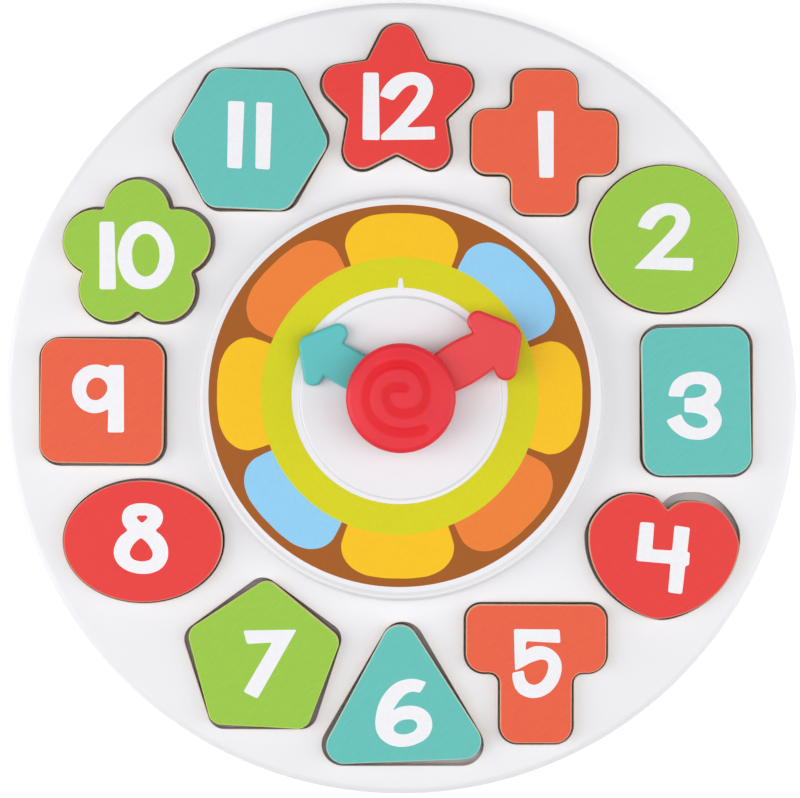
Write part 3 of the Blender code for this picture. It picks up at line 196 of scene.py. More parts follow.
def rounded(corners, rounds, grow=0.0, steps=10):
    """A polygon with its corners rounded, moved outwards by grow."""
    count = len(corners)
    edges = [heading(corners[i], corners[(i + 1) % count]) for i in range(count)]
    moved, turns, cuts = [], [], []
    for i, (x, y) in enumerate(corners):
        (ax, ay), (bx, by) = edges[i - 1], edges[i]
        reach = grow / (1 + ax * bx + ay * by)
        moved.append((x + (ay + by) * reach, y - (ax + bx) * reach))
        turns.append(math.atan2(ax * by - ay * bx, ax * bx + ay * by))
        radius = rounds[i] + grow if turns[i] > 0 else max(rounds[i] - grow, 0.3)
        cuts.append(radius * math.tan(abs(turns[i]) / 2))
    drawn_in = list(cuts)
    for i in range(count):
        ahead = (i + 1) % count
        share = 0.98 * math.dist(moved[i], moved[ahead]) / max(cuts[i] + cuts[ahead], 0.3)
        drawn_in[i] = min(drawn_in[i], cuts[i] * share)
        drawn_in[ahead] = min(drawn_in[ahead], cuts[ahead] * share)
    points = []
    for i, (x, y) in enumerate(moved):
        if drawn_in[i] == 0:
            points.append((x, y))
            continue
        ax, ay = edges[i - 1]
        side = math.copysign(1, turns[i])
        radius = drawn_in[i] / math.tan(abs(turns[i]) / 2)
        start = (x - ax * drawn_in[i], y - ay * drawn_in[i])
        centre = (start[0] - ay * radius * side, start[1] + ax * radius * side)
        first = math.degrees(math.atan2(start[1] - centre[1], start[0] - centre[0]))
        fineness = steps if side > 0 else steps // 2
        points += arc(centre, radius, first, first + math.degrees(turns[i]), fineness)
    return points


def mirrored(half):
    return half + [(-x, y) for x, y in reversed(half)]


def oval(half_width, half_height, grow=0.0, steps=128):
    points = []
    for step in range(steps):
        angle = 2 * math.pi * step / steps
        across, up = math.cos(angle) / half_width, math.sin(angle) / half_height
        reach = grow / math.hypot(across, up)
        x, y = half_width * math.cos(angle), half_height * math.sin(angle)
        points.append((x + across * reach, y + up * reach))
    return points


def box(width, height, corner, grow=0.0):
    half = [(width / 2, -height / 2), (width / 2, height / 2)]
    return rounded(mirrored(half), [corner] * 4, grow)


def cross(grow):
    corners = []
    for quarter in range(4):
        turn_x, turn_y = polar(1, 90 * quarter)
        for x, y in ((24.7, -11.0), (24.7, 11.0), (11.0, 11.0)):
            corners.append((x * turn_x - y * turn_y, x * turn_y + y * turn_x))
    return rounded(corners, [5.4, 5.4, 3.6] * 4, grow)


def circle(grow):
    return oval(24.95, 24.95, grow)


def rectangle(grow):
    return box(37.2, 50.8, 6.6, grow)


def bend(start, start_handle, end_handle, end, steps):
    points = []
    for step in range(steps):
        t = step / steps
        weights = ((1 - t) ** 3, 3 * t * (1 - t) ** 2, 3 * t * t * (1 - t), t**3)
        handles = (start, start_handle, end_handle, end)
        points.append(tuple(sum(w * p[i] for w, p in zip(weights, handles)) for i in (0, 1)))
    return points


def evenly(points, count):
    """The same line with its points an even way apart."""
    marks = [0.0]
    for a, b in zip(points, points[1:]):
        marks.append(marks[-1] + math.dist(a, b))
    spaced, i = [], 0
    for step in range(count):
        wanted = marks[-1] * step / (count - 1)
        while i < len(points) - 2 and marks[i + 1] < wanted:
            i += 1
        share = (wanted - marks[i]) / (marks[i + 1] - marks[i])
        spaced.append(tuple(a + (b - a) * share for a, b in zip(points[i], points[i + 1])))
    return spaced


def heart(grow):
    curve = bend((0, -20.8), (5.8, -20.8), (25.35, -13.2), (25.35, 7.1), 60)
    curve += bend((25.35, 7.1), (25.35, 10.8), (19.7, 20.8), (11.3, 20.8), 36)
    curve += bend((11.3, 20.8), (2.9, 20.8), (3.0, 19.2), (0, 16.6), 28)
    curve.append((0, 16.6))
    half = [(0, curve[0][1] - grow)]
    for i in range(1, len(curve)):
        along = heading(curve[i - 1], curve[min(i + 1, len(curve) - 1)])
        x, y = curve[i][0] + along[1] * grow, curve[i][1] - along[0] * grow
        if x > 0:
            half.append((x, y))
            continue
        last_x, last_y = half[-1]
        half.append((0, last_y + (y - last_y) * last_x / (last_x - x)))
        break
    else:
        half[-1] = (0, half[-1][1])
    half = evenly(half, 64)
    return half + [(-x, y) for x, y in reversed(half[1:-1])]


def tee(grow):
    half = [(12.15, -23.6), (12.15, 0.5), (23.85, 0.5), (23.85, 23.6)]
    return rounded(mirrored(half), [5.8, 3.8, 6.2, 5.2, 5.2, 6.2, 3.8, 5.8], grow)


def triangle(grow):
    return rounded([(31.15, -26.75), (0, 26.75), (-31.15, -26.75)], [6.2] * 3, grow, 14)


def pentagon(grow):
    return rounded([polar(28.1, 90 + 72 * i) for i in range(5)], [4.6] * 5, grow)


def egg(grow):
    return oval(26.9, 20.6, grow)


def square(grow):
    return box(42.3, 42.3, 6.6, grow)


def flower(grow):
    """Five round petals, with a small fillet where two of them meet."""
    place, radius, half = 14.9, 11.0 + grow, math.pi / 5
    fillet = max(1.6 - grow, 0.4)
    reach = radius + fillet
    out = place * math.cos(half) + math.sqrt(reach**2 - (place * math.sin(half)) ** 2)
    span = math.atan2(out * math.sin(half), out * math.cos(half) - place)
    points = []
    for petal in range(5):
        turn_x, turn_y = polar(1, 90 + 72 * petal)
        side = arc((place, 0), radius, -math.degrees(span), math.degrees(span), 26)
        centre = (out * math.cos(half), out * math.sin(half))
        first = math.degrees(span) + 180
        last = 2 * math.degrees(half) - math.degrees(span) + 180
        side += arc(centre, fillet, first, last, 6)[1:-1]
        for x, y in side:
            points.append((x * turn_x - y * turn_y, x * turn_y + y * turn_x))
    return points


def hexagon(grow):
    return rounded(mirrored([(13.9, -24.05), (27.2, 0), (13.9, 24.05)]), [6.0] * 6, grow)


def star(grow):
    corners = []
    for point in range(5):
        corners += [polar(35.0, 90 + 72 * point), polar(17.6, 126 + 72 * point)]
    return rounded(corners, [6.5, 2.0] * 5, grow, 14)


# Each block: outline, paint, pocket centre as a share of the pocket circle and in degrees
# from its hour, play all round in the pocket, where the block lies in it, its turn, and
# its width and length as shares of the outline's
BLOCKS = {
    "block_01_cross": (cross, "coral", 0.9930, 0.70, 0.7, (-0.11, -0.17), -0.71, (1.0, 0.993)),
    "block_02_circle": (circle, "green", 1.0400, 1.10, 0.6, (-0.09, 0.02), 0.00, (0.997, 0.998)),
    "block_03_rectangle": (rectangle, "teal", 1.0005, -0.50, 0.8, (-0.32, -0.13), 1.14, (0.984, 0.987)),
    "block_04_heart": (heart, "red", 1.0344, -1.13, 1.05, (-0.56, -0.52), -7.30, (1.005, 0.991)),
    "block_05_tee": (tee, "coral", 1.0378, -3.86, 0.75, (-0.10, 0.16), -0.23, (0.996, 0.993)),
    "block_06_triangle": (triangle, "teal", 0.9708, 0.38, 1.1, (-0.43, 0.50), 2.24, (0.99, 0.977)),
    "block_07_pentagon": (pentagon, "green", 1.0008, 2.16, 1.0, (0.12, 0.10), -3.11, (0.982, 0.993)),
    "block_08_oval": (egg, "red", 0.9950, -1.00, 0.65, (0.01, -0.06), -0.68, (1.0, 1.0)),
    "block_09_square": (square, "coral", 1.0080, 0.60, 0.75, (-0.09, 0.15), -0.85, (0.986, 1.0)),
    "block_10_flower": (flower, "green", 1.0105, 1.28, 0.9, (-0.45, -0.15), 0.19, (0.99, 0.984)),
    "block_11_hexagon": (hexagon, "teal", 1.0126, 0.11, 0.65, (-0.01, -0.19), -2.62, (0.987, 0.982)),
    "block_12_star": (star, "red", 1.0000, 0.70, 0.7, (0.06, -0.10), -0.66, (0.983, 0.982)),
}


def pocket_places():
    """Each block's name, its row and the middle of its pocket."""
    for hour, (name, row) in enumerate(BLOCKS.items(), start=1):
        yield name, row, *polar(POCKET_CIRCLE * row[2], 90 - 30 * hour + row[3])


def placed(points, x, y, degrees=0.0, stretch=(1, 1)):
    turn_x, turn_y = polar(1, degrees)
    points = [(px * stretch[0], py * stretch[1]) for px, py in points]
    return [(x + px * turn_x - py * turn_y, y + px * turn_y + py * turn_x) for px, py in points]


# Making solids


def flat_face(name, points, height):
    """A filled circle with as many corners as the outline, each moved to its point."""
    only()
    bpy.ops.mesh.primitive_circle_add(vertices=len(points), radius=MM, fill_type="NGON")
    made = bpy.context.object
    made.name = made.data.name = name
    for corner, (x, y) in zip(made.data.vertices, points):
        corner.co = (x * MM, y * MM, height * MM)
    return made


def prism(name, points, bottom, top):
    """An outline pushed up into a solid."""
    made = flat_face(name, points, bottom)
    pick(made, "faces", everything)
    bpy.ops.mesh.extrude_region_move(TRANSFORM_OT_translate={"value": (0, 0, (top - bottom) * MM)})
    return face_outwards(made)


def stack(name, rings):
    """A solid grown ring by ring: each outline is pushed up out of the one before it."""
    made = flat_face(name, *rings[0])
    pick(made, "faces", everything)
    shape = bmesh.from_edit_mesh(made.data)
    order = [corner.index for corner in next(iter(shape.faces)).verts]
    for points, height in rings[1:]:
        bpy.ops.mesh.extrude_region_move()
        shape = bmesh.from_edit_mesh(made.data)
        top = next(face for face in shape.faces if face.select)
        for corner, place in zip(top.verts, order):
            x, y = points[place]
            corner.co = (x * MM, y * MM, height * MM)
        bmesh.update_edit_mesh(made.data)
    return face_outwards(made)


def rod(name, radius, bottom, top, x=0.0, y=0.0, sides=32):
    return prism(name, placed(oval(radius, radius, steps=sides), x, y), bottom, top)


def turned(name, profile, steps=192, centre=(0.0, 0.0)):
    """A profile of radii and heights, spun once round the upright axis.

    A profile that starts and ends on the axis is left open there.
    """
    only()
    bpy.ops.mesh.primitive_circle_add(vertices=len(profile), radius=MM, fill_type="NOTHING")
    made = bpy.context.object
    made.name = made.data.name = name
    for corner, (radius, height) in zip(made.data.vertices, profile):
        corner.co = ((centre[0] + radius) * MM, centre[1] * MM, height * MM)
    if profile[0][0] == 0:
        axis = centre[0] * MM
        pick(made, "edges", lambda edge: all(abs(corner.co.x - axis) < 1e-7 for corner in edge.verts))
        bpy.ops.mesh.delete(type="EDGE")
    pick(made, "verts", everything)
    bpy.ops.mesh.spin(
        steps=steps, angle=2 * math.pi, center=(centre[0] * MM, centre[1] * MM, 0), axis=(0, 0, 1)
    )
    merge_points(made)
    pick(made, "verts", everything)
    bpy.ops.mesh.delete_loose()
    return face_outwards(made)


def combine(target, operation, tools):
    """Joins tools to the target, or cuts them out of it, and clears them away."""
    group = bpy.data.collections.new("tools")
    bpy.context.scene.collection.children.link(group)
    for tool in tools:
        for home in list(tool.users_collection):
            home.objects.unlink(tool)
        group.objects.link(tool)
    only(target)
    bpy.ops.object.modifier_add(type="BOOLEAN")
    step = target.modifiers[-1]
    step.operation, step.solver = operation, "EXACT"
    step.operand_type, step.collection = "COLLECTION", group
    bpy.ops.object.modifier_apply(modifier=step.name)
    for tool in tools:
        bpy.data.objects.remove(tool)
    bpy.data.collections.remove(group)
    return target


def copy_to(thing, name, x, y, degrees=0.0):
    """A copy with its own mesh, turned and moved in its points."""
    made = thing.copy()
    made.data = thing.data.copy()
    made.name = made.data.name = name
    bpy.context.scene.collection.objects.link(made)
    only(made)
    made.rotation_euler = (0, 0, math.radians(degrees))
    made.location = (x * MM, y * MM, 0)
    return apply_place(made)


def flat_drawing(name, outlines, bottom, top, soft=0.7):
    """Closed outlines drawn as one flat curve, filled between them and given a thickness.

    A point is (x, y) where the line runs smoothly, and (x, y, 1) at a corner, which is
    softened over a short way.
    """
    line = bpy.data.curves.new(name, "CURVE")
    line.dimensions, line.fill_mode, line.resolution_u = "2D", "BOTH", 6
    line.extrude = (top - bottom) / 2 * MM
    for outline in outlines:
        knots = []
        for i, knot in enumerate(outline):
            if len(knot) == 2:
                knots.append((knot, None, None))
                continue
            here = knot[:2]
            for other, side in ((outline[i - 1], -1), (outline[(i + 1) % len(outline)], 1)):
                x, y = heading(here, other[:2])
                reach = min(soft, 0.4 * math.dist(here, other[:2]))
                spot = (here[0] + x * reach, here[1] + y * reach)
                knots.append((spot, (here[0] + x * reach * 0.45, here[1] + y * reach * 0.45), side))
        spline = line.splines.new("BEZIER")
        spline.bezier_points.add(len(knots) - 1)
        spline.use_cyclic_u = True
        for point, (spot, handle, side) in zip(spline.bezier_points, knots):
            point.co = (spot[0] * MM, spot[1] * MM, 0)
            point.handle_left_type = point.handle_right_type = "AUTO"
            if handle:
                towards = (handle[0] * MM, handle[1] * MM, 0)
                if side < 0:
                    point.handle_left_type, point.handle_right_type = "VECTOR", "FREE"
                    point.handle_right = towards
                else:
                    point.handle_left_type, point.handle_right_type = "FREE", "VECTOR"
                    point.handle_left = towards
    made = bpy.data.objects.new(name, line)
    bpy.context.scene.collection.objects.link(made)
    only(made)
    bpy.ops.object.convert(target="MESH")
    made = bpy.context.object
    made.location = (0, 0, (bottom + top) / 2 * MM)
    merge_points(apply_place(made), 0.000001)
    return face_outwards(made)


# Finishes


def linear(red, green, blue):
    """A colour as a screen shows it, from 0 to 255, made light values."""
    values = []
    for value in (red, green, blue):
        share = value / 255
        values.append(share / 12.92 if share <= 0.04045 else ((share + 0.055) / 1.055) ** 2.4)
    return (*values, 1)


def grey(value):
    return (value, value, value, 1)


def new_finish(name, colour, roughness, **sockets):
    made = bpy.data.materials.new(name)
    made.use_nodes = True
    shader = made.node_tree.nodes["Principled BSDF"]
    shader.inputs["Base Color"].default_value = colour
    shader.inputs["Roughness"].default_value = roughness
    for socket, value in sockets.items():
        shader.inputs[socket.replace("_", " ")].default_value = value
    return made


def node(made, kind, **values):
    new = made.node_tree.nodes.new(f"ShaderNode{kind}")
    for name, value in values.items():
        setattr(new, name, value)
    return new


def wire(made, source, target):
    made.node_tree.links.new(source, target)


def place_on_piece(made, stretch=(1, 1, 1), degrees=0.0):
    """Where a point lies on its own piece, in metres, turned and stretched."""
    spot = node(made, "TexCoord")
    mapping = node(made, "Mapping", vector_type="TEXTURE")
    mapping.inputs["Rotation"].default_value = (0, 0, math.radians(degrees))
    mapping.inputs["Scale"].default_value = [1 / share for share in stretch]
    wire(made, spot.outputs["Object"], mapping.inputs["Vector"])
    return mapping.outputs["Vector"]


def mottle(made, scale, detail=3.0, stretch=(1, 1, 1), degrees=0.0):
    """A cloudy pattern, as a value from 0 to 1."""
    cloud = node(made, "TexNoise")
    cloud.inputs["Scale"].default_value = scale
    cloud.inputs["Detail"].default_value = detail
    cloud.inputs["Roughness"].default_value = 0.55
    wire(made, place_on_piece(made, stretch, degrees), cloud.inputs["Vector"])
    return cloud.outputs["Fac"]


def ramp(made, value, stops):
    """Colours along a value."""
    new = node(made, "ValToRGB")
    band = new.color_ramp
    while len(band.elements) < len(stops):
        band.elements.new(0.5)
    for element, (place, colour) in zip(band.elements, stops):
        element.position = place
        element.color = colour
    wire(made, value, new.inputs["Fac"])
    return new.outputs["Color"]


def blend_colours(made, share, first, second, kind="MIX"):
    new = node(made, "Mix", data_type="RGBA", blend_type=kind)
    for socket, source in ((new.inputs["Factor"], share), (new.inputs[6], first), (new.inputs[7], second)):
        if hasattr(source, "is_linked"):
            wire(made, source, socket)
        else:
            socket.default_value = source
    return new.outputs[2]


def multiply(made, first, second):
    return blend_colours(made, 1.0, first, second, "MULTIPLY")


def between(made, value, low, high, low_in=0.3, high_in=0.7):
    new = node(made, "MapRange")
    new.inputs["From Min"].default_value, new.inputs["From Max"].default_value = low_in, high_in
    new.inputs["To Min"].default_value, new.inputs["To Max"].default_value = low, high
    wire(made, value, new.inputs["Value"])
    return new.outputs["Result"]


def to_shader(made, source, socket):
    wire(made, source, made.node_tree.nodes["Principled BSDF"].inputs[socket])


def sheen(made, value, low, high):
    to_shader(made, between(made, value, low, high), "Roughness")


def relief(made, value, strength, depth_mm):
    bump = node(made, "Bump")
    bump.inputs["Strength"].default_value = strength
    bump.inputs["Distance"].default_value = depth_mm * MM
    wire(made, value, bump.inputs["Height"])
    to_shader(made, bump.outputs["Normal"], "Normal")


def tone(colour, amount):
    return (*(min(1.0, value * amount) for value in colour[:3]), 1)


def toned(made, value, colour, low, high):
    """The colour, darker or lighter as a value runs from low to high."""
    stops = [(0.3, tone(colour, low)), (0.7, tone(colour, high))]
    to_shader(made, ramp(made, value, stops), "Base Color")


def moulded(name, colour, roughness, spread=0.05, **sockets):
    """Moulded plastic: a slow drift of colour, fine spark-worn texture, uneven sheen."""
    made = new_finish(name, colour, roughness, **sockets)
    slow = mottle(made, 22.0, 2.0)
    fine = mottle(made, 2600.0, 2.0)
    toned(made, slow, colour, 1 - spread, 1 + spread)
    sheen(made, mottle(made, 160.0, 3.0), roughness - 0.05, roughness + 0.06)
    relief(made, fine, 0.10, 0.02)
    return made


def printed_face(name, colour):
    """Ink over sanded board: faint slanting streaks of the grain and tiny specks."""
    made = new_finish(name, colour, 0.5, Specular_IOR_Level=0.3)
    grain = mottle(made, 1700.0, 3.0, (1.0, 0.12, 1.0), -52)
    specks = mottle(made, 2600.0, 3.0)
    base = ramp(made, grain, [(0.25, tone(colour, 0.95)), (0.55, colour), (0.8, tone(colour, 1.05))])
    dust = ramp(made, specks, [(0.30, grey(0.93)), (0.45, grey(1)), (0.78, grey(1))])
    to_shader(made, multiply(made, base, dust), "Base Color")
    sheen(made, specks, 0.44, 0.60)
    relief(made, grain, 0.16, 0.05)
    return made


def cut_board(name):
    """The sawn side of a block: pale under the print, plies below, and painted shade that darkens it towards
    the foot, down in the pocket.
    """
    made = new_finish(name, linear(226, 201, 164), 0.7)
    spot = node(made, "TexCoord")
    split = node(made, "SeparateXYZ")
    wire(made, spot.outputs["Object"], split.inputs["Vector"])
    height = between(made, split.outputs["Z"], 0.0, 1.0, BLOCK_BOTTOM * MM, BLOCK_TOP * MM)
    # Painted shade: the wood darkens towards the foot, where it stands in the pocket's shade
    pale_top_painted_foot_shade = ramp(
        made,
        height,
        [
            (0.0, linear(196, 156, 122)),
            (0.35, linear(204, 166, 132)),
            (0.60, linear(214, 180, 146)),
            (0.72, linear(232, 206, 172)),
            (0.90, linear(246, 230, 204)),
        ],
    )
    fibres = mottle(made, 900.0, 5.0, (1, 1, 3.5))
    plies = mottle(made, 40.0, 1.0, (0.02, 0.02, 18.0))
    streak = ramp(made, fibres, [(0.3, (0.80, 0.78, 0.76, 1)), (0.6, grey(1))])
    layer = ramp(made, plies, [(0.42, (0.84, 0.82, 0.80, 1)), (0.52, grey(1))])
    shade = multiply(made, streak, layer)
    to_shader(made, multiply(made, pale_top_painted_foot_shade, shade), "Base Color")
    relief(made, fibres, 0.35, 0.08)
    return made


def ink(name, colour, gloss=0.42):
    """Printed label under a thin clear film."""
    made = new_finish(name, colour, gloss, Specular_IOR_Level=0.25)
    paper = mottle(made, 900.0, 4.0)
    slow = mottle(made, 60.0, 2.0)
    base = ramp(made, paper, [(0.3, tone(colour, 0.975)), (0.7, tone(colour, 1.02))])
    drift = ramp(made, slow, [(0.3, grey(0.98)), (0.7, grey(1))])
    to_shader(made, multiply(made, base, drift), "Base Color")
    sheen(made, slow, gloss - 0.04, gloss + 0.05)
    relief(made, paper, 0.06, 0.02)
    return made


def drawn_metal(name, colour, roughness):
    made = new_finish(name, colour, roughness, Metallic=1.0)
    lines = mottle(made, 1500.0, 3.0, (1, 1, 0.1))
    toned(made, lines, colour, 0.86, 1.08)
    sheen(made, lines, roughness - 0.08, roughness + 0.12)
    relief(made, lines, 0.12, 0.02)
    return made


def specked(name, colour, roughness, scale, spread, depth):
    """Rubber, pressed paper, lacquer: a matt ground with a fine grain."""
    made = new_finish(name, colour, roughness)
    grain = mottle(made, scale, 5.0)
    toned(made, grain, colour, 1 - spread, 1 + spread)
    sheen(made, grain, roughness - 0.06, roughness + 0.08)
    relief(made, grain, 0.4, depth)
    return made


def lacquered_board(name):
    """Green lacquer with copper tracks showing through."""
    green = linear(22, 92, 48)
    made = new_finish(name, green, 0.35)
    tracks = node(made, "TexBrick")
    tracks.offset = 0.37
    sizes = {"Scale": 260.0, "Mortar Size": 0.06, "Brick Width": 0.9, "Row Height": 0.35}
    for socket, value in sizes.items():
        tracks.inputs[socket].default_value = value
    tracks.inputs["Color1"].default_value = green
    tracks.inputs["Color2"].default_value = linear(26, 100, 54)
    tracks.inputs["Mortar"].default_value = linear(58, 132, 74)
    wire(made, place_on_piece(made), tracks.inputs["Vector"])
    to_shader(made, tracks.outputs["Color"], "Base Color")
    relief(made, tracks.outputs["Fac"], 0.2, 0.03)
    return made


def clear_cap(name, thick, thin):
    """See-through red plastic: paler where it is thick, deeper along the pressed spiral."""
    made = new_finish(name, thick, 0.34, Specular_IOR_Level=0.3)
    pressed = node(made, "Attribute", attribute_name="pressed")
    cloud = mottle(made, 90.0, 2.0)
    depth = blend_colours(made, pressed.outputs["Fac"], thick, thin)
    drift = ramp(made, cloud, [(0.3, grey(0.95)), (0.7, grey(1.05))])
    to_shader(made, multiply(made, depth, drift), "Base Color")
    sheen(made, mottle(made, 200.0, 3.0), 0.30, 0.42)
    return made


def prints(start, **colours):
    return {paint: printed_face(f"{start}_{paint}", linear(*colour)) for paint, colour in colours.items()}


PAINTS = prints("print", red=(236, 62, 58), coral=(238, 98, 66), green=(156, 204, 68), teal=(102, 197, 189))
# Paler ink for the blocks' rounded top edges: partly thinner ink over pale board, partly a painted highlight
# along the edge
PAINT_EDGES_WITH_HIGHLIGHT = prints(
    "print_edge_highlight", red=(242, 132, 112), coral=(246, 158, 118), green=(200, 224, 98), teal=(164, 224, 214)
)
SLOTS = {"red": "red_print", "coral": "coral_print", "green": "green_print", "teal": "teal_print"}
WHITE_PLASTIC = moulded("white_plastic", linear(239, 239, 243), 0.36, 0.012)
BOARD_EDGE = cut_board("board_edge")
NUMBER_INK = ink("number_ink", linear(246, 246, 250), 0.5)
LABEL_BROWN = ink("label_brown", linear(166, 90, 18))
LABEL_LIME = ink("label_lime", linear(218, 215, 10))
PATCH_INKS = {
    "yellow": ink("label_yellow", linear(254, 199, 14)),
    "orange": ink("label_orange", linear(242, 130, 50)),
    "blue": ink("label_blue", linear(147, 210, 248)),
}
HOUR_TEAL = moulded("hour_hand_teal", linear(88, 197, 197), 0.4, 0.02)
MINUTE_RED = moulded("minute_hand_red", linear(234, 56, 62), 0.4, 0.02)
BUTTON_RED = clear_cap("button_red", linear(234, 46, 60), linear(230, 10, 30))
RUBBER = specked("foot_rubber", linear(122, 122, 125), 0.8, 1600.0, 0.14, 0.05)
REAR_WHITE = specked("rear_white", linear(232, 232, 235), 0.62, 1500.0, 0.03, 0.03)
SCREW_STEEL = drawn_metal("screw_steel", linear(196, 197, 200), 0.34)
NICKEL = drawn_metal("contact_nickel", linear(214, 210, 202), 0.28)
BOARD_GREEN = lacquered_board("circuit_board_green")
SWITCH_BLACK = specked("switch_black", linear(38, 38, 40), 0.5, 1900.0, 0.2, 0.02)
LAMP_CLEAR = moulded("lamp_clear", linear(232, 232, 224), 0.12, 0.02, Transmission_Weight=0.6)
CONE_PAPER = specked("cone_paper", linear(48, 48, 50), 0.85, 900.0, 0.25, 0.15)
CELL_JACKET = moulded("cell_jacket", linear(88, 122, 172), 0.32, 0.05)
KNOB_GREY = moulded("knob_grey", linear(148, 150, 154), 0.45, 0.05)


def dress(piece, body, replaced, slot, *finishes):
    """Gives a piece its finishes, sets it on its body and stands it in for its nodes."""
    if finishes:
        piece.data.materials.clear()
        for finish in finishes:
            piece.data.materials.append(finish)
    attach(piece, body)
    if replaced:
        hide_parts(*replaced)
    return piece


# Shell


def rim_places():
    return [polar(RIM_SCREW_CIRCLE, 15 + 60 * i) for i in range(6)]


def ring_of(radius):
    return oval(radius, radius, steps=192)


def plate_rings():
    edge = arc((SHELL_RADIUS - 2.7, TRAY_FACE - 2.7), 2.7, 0, 90, 12)
    profile = [(SHELL_RADIUS - 0.6, TABLE_GAP), (SHELL_RADIUS - 0.2, TABLE_GAP + 0.2)]
    profile += [(SHELL_RADIUS, TABLE_GAP + 0.6), *edge]
    return [(ring_of(radius), height) for radius, height in profile]


def dial_profile():
    return [
        (3.2, DIAL_UNDERSIDE),
        (3.2, 31.6),
        (4.4, 31.6),
        (4.4, POST_TOP),
        (5.8, POST_TOP),
        (POST_RADIUS, POST_TOP - 0.2),
        (POST_RADIUS, DISC_TOP),
        *arc((33.5, DISC_TOP - 0.8), 0.8, 90, 10, 8),
        *arc((34.85, DIAL_FLOOR + 0.45), 0.45, 200, 270, 5),
        (65.4, DIAL_FLOOR),
        (65.8, DIAL_FLOOR + 0.08),
        (66.2, DIAL_FLOOR + 0.28),
        (66.55, DIAL_FLOOR + 0.48),
        (66.85, DIAL_RIM_TOP - 0.02),
        *arc((67.0, DIAL_RIM_TOP - 1.1), 1.1, 90, 8, 8),
        *arc((69.55, TRAY_FACE + 1.1), 1.1, 184, 250, 5),
        (DIAL_RADIUS, TRAY_FACE - 0.1),
        (DIAL_RADIUS, TRAY_FACE - 1.0),
        (67.3, TRAY_FACE - 1.0),
        (65.7, DIAL_UNDERSIDE),
    ]


def pocket_rings(outline, play, x, y, stretch):
    """A pocket's hollow: straight walls that flare at the tray's face into a soft lip."""
    lip = arc((play + LIP, TRAY_FACE - LIP), LIP, 180, 110, 4)
    profile = [(play, POCKET_FLOOR), *lip, (play + LIP * 1.6, TRAY_FACE + LIP * 0.24)]
    eased = [(1 + share) / 2 for share in stretch]
    return [(placed(outline(grow), x, y, 0, eased), height) for grow, height in profile]


def tick(grow):
    half = [(1.1, 36.7), (0.75, 40.7)]
    return rounded(mirrored(half), [0.6, 0.75, 0.75, 0.6], grow, 6)


def make_shell():
    shell = stack("tray_shell", plate_rings())
    under = [(132.8, TABLE_GAP - 1), (132.8, TRAY_UNDERSIDE), (67.5, TRAY_UNDERSIDE), (67.5, TRAY_FACE + 1)]
    hollow = stack("under_tray", [(ring_of(radius), height) for radius, height in under])
    combine(shell, "DIFFERENCE", [hollow])
    additions = [turned("dial", dial_profile())]
    additions.append(prism("tick", tick(0.0), DIAL_FLOOR - JOIN, TICK_TOP))
    cuts = []
    for name, (outline, _, _, _, play, _, _, stretch), x, y in pocket_places():
        tub = placed(outline(play + TUB_WALL), x, y)
        additions.append(prism(f"tub_{name}", tub, TUB_FOOT, TRAY_UNDERSIDE + JOIN))
        cuts.append(stack(f"pocket_{name}", pocket_rings(outline, play, x, y, stretch)))
    for i, (x, y) in enumerate(rim_places()):
        additions.append(rod(f"rim_boss_{i}", BOSS_RADIUS, BOSS_FOOT, TRAY_UNDERSIDE + JOIN, x, y))
        cuts.append(rod(f"rim_bore_{i}", SCREW_BORE, SCREW_BORE_FOOT, SCREW_BORE_TOP, x, y, 16))
    for side in (-1, 1):
        x = MIDDLE_SCREW * side
        additions.append(rod(f"middle_boss_{side}", BOSS_RADIUS, BOSS_FOOT, DIAL_UNDERSIDE + JOIN, x))
        cuts.append(rod(f"middle_bore_{side}", SCREW_BORE, SCREW_BORE_FOOT, SCREW_BORE_TOP, x, 0, 16))
        x = BOARD_SCREW * side
        additions.append(rod(f"board_post_{side}", 3.0, 22.3, DIAL_UNDERSIDE + JOIN, x))
        cuts.append(rod(f"board_bore_{side}", SCREW_BORE, 21.3, 26.4, x, 0, 16))
    combine(shell, "UNION", additions)
    combine(shell, "DIFFERENCE", cuts)
    round_edges(shell, at_height(TICK_TOP), 0.3)
    smooth(shell, 32)
    weigh_normals(shell)
    dress(shell, "base", ["top_shell"], "white_plastic", WHITE_PLASTIC)


# Blocks and their numbers

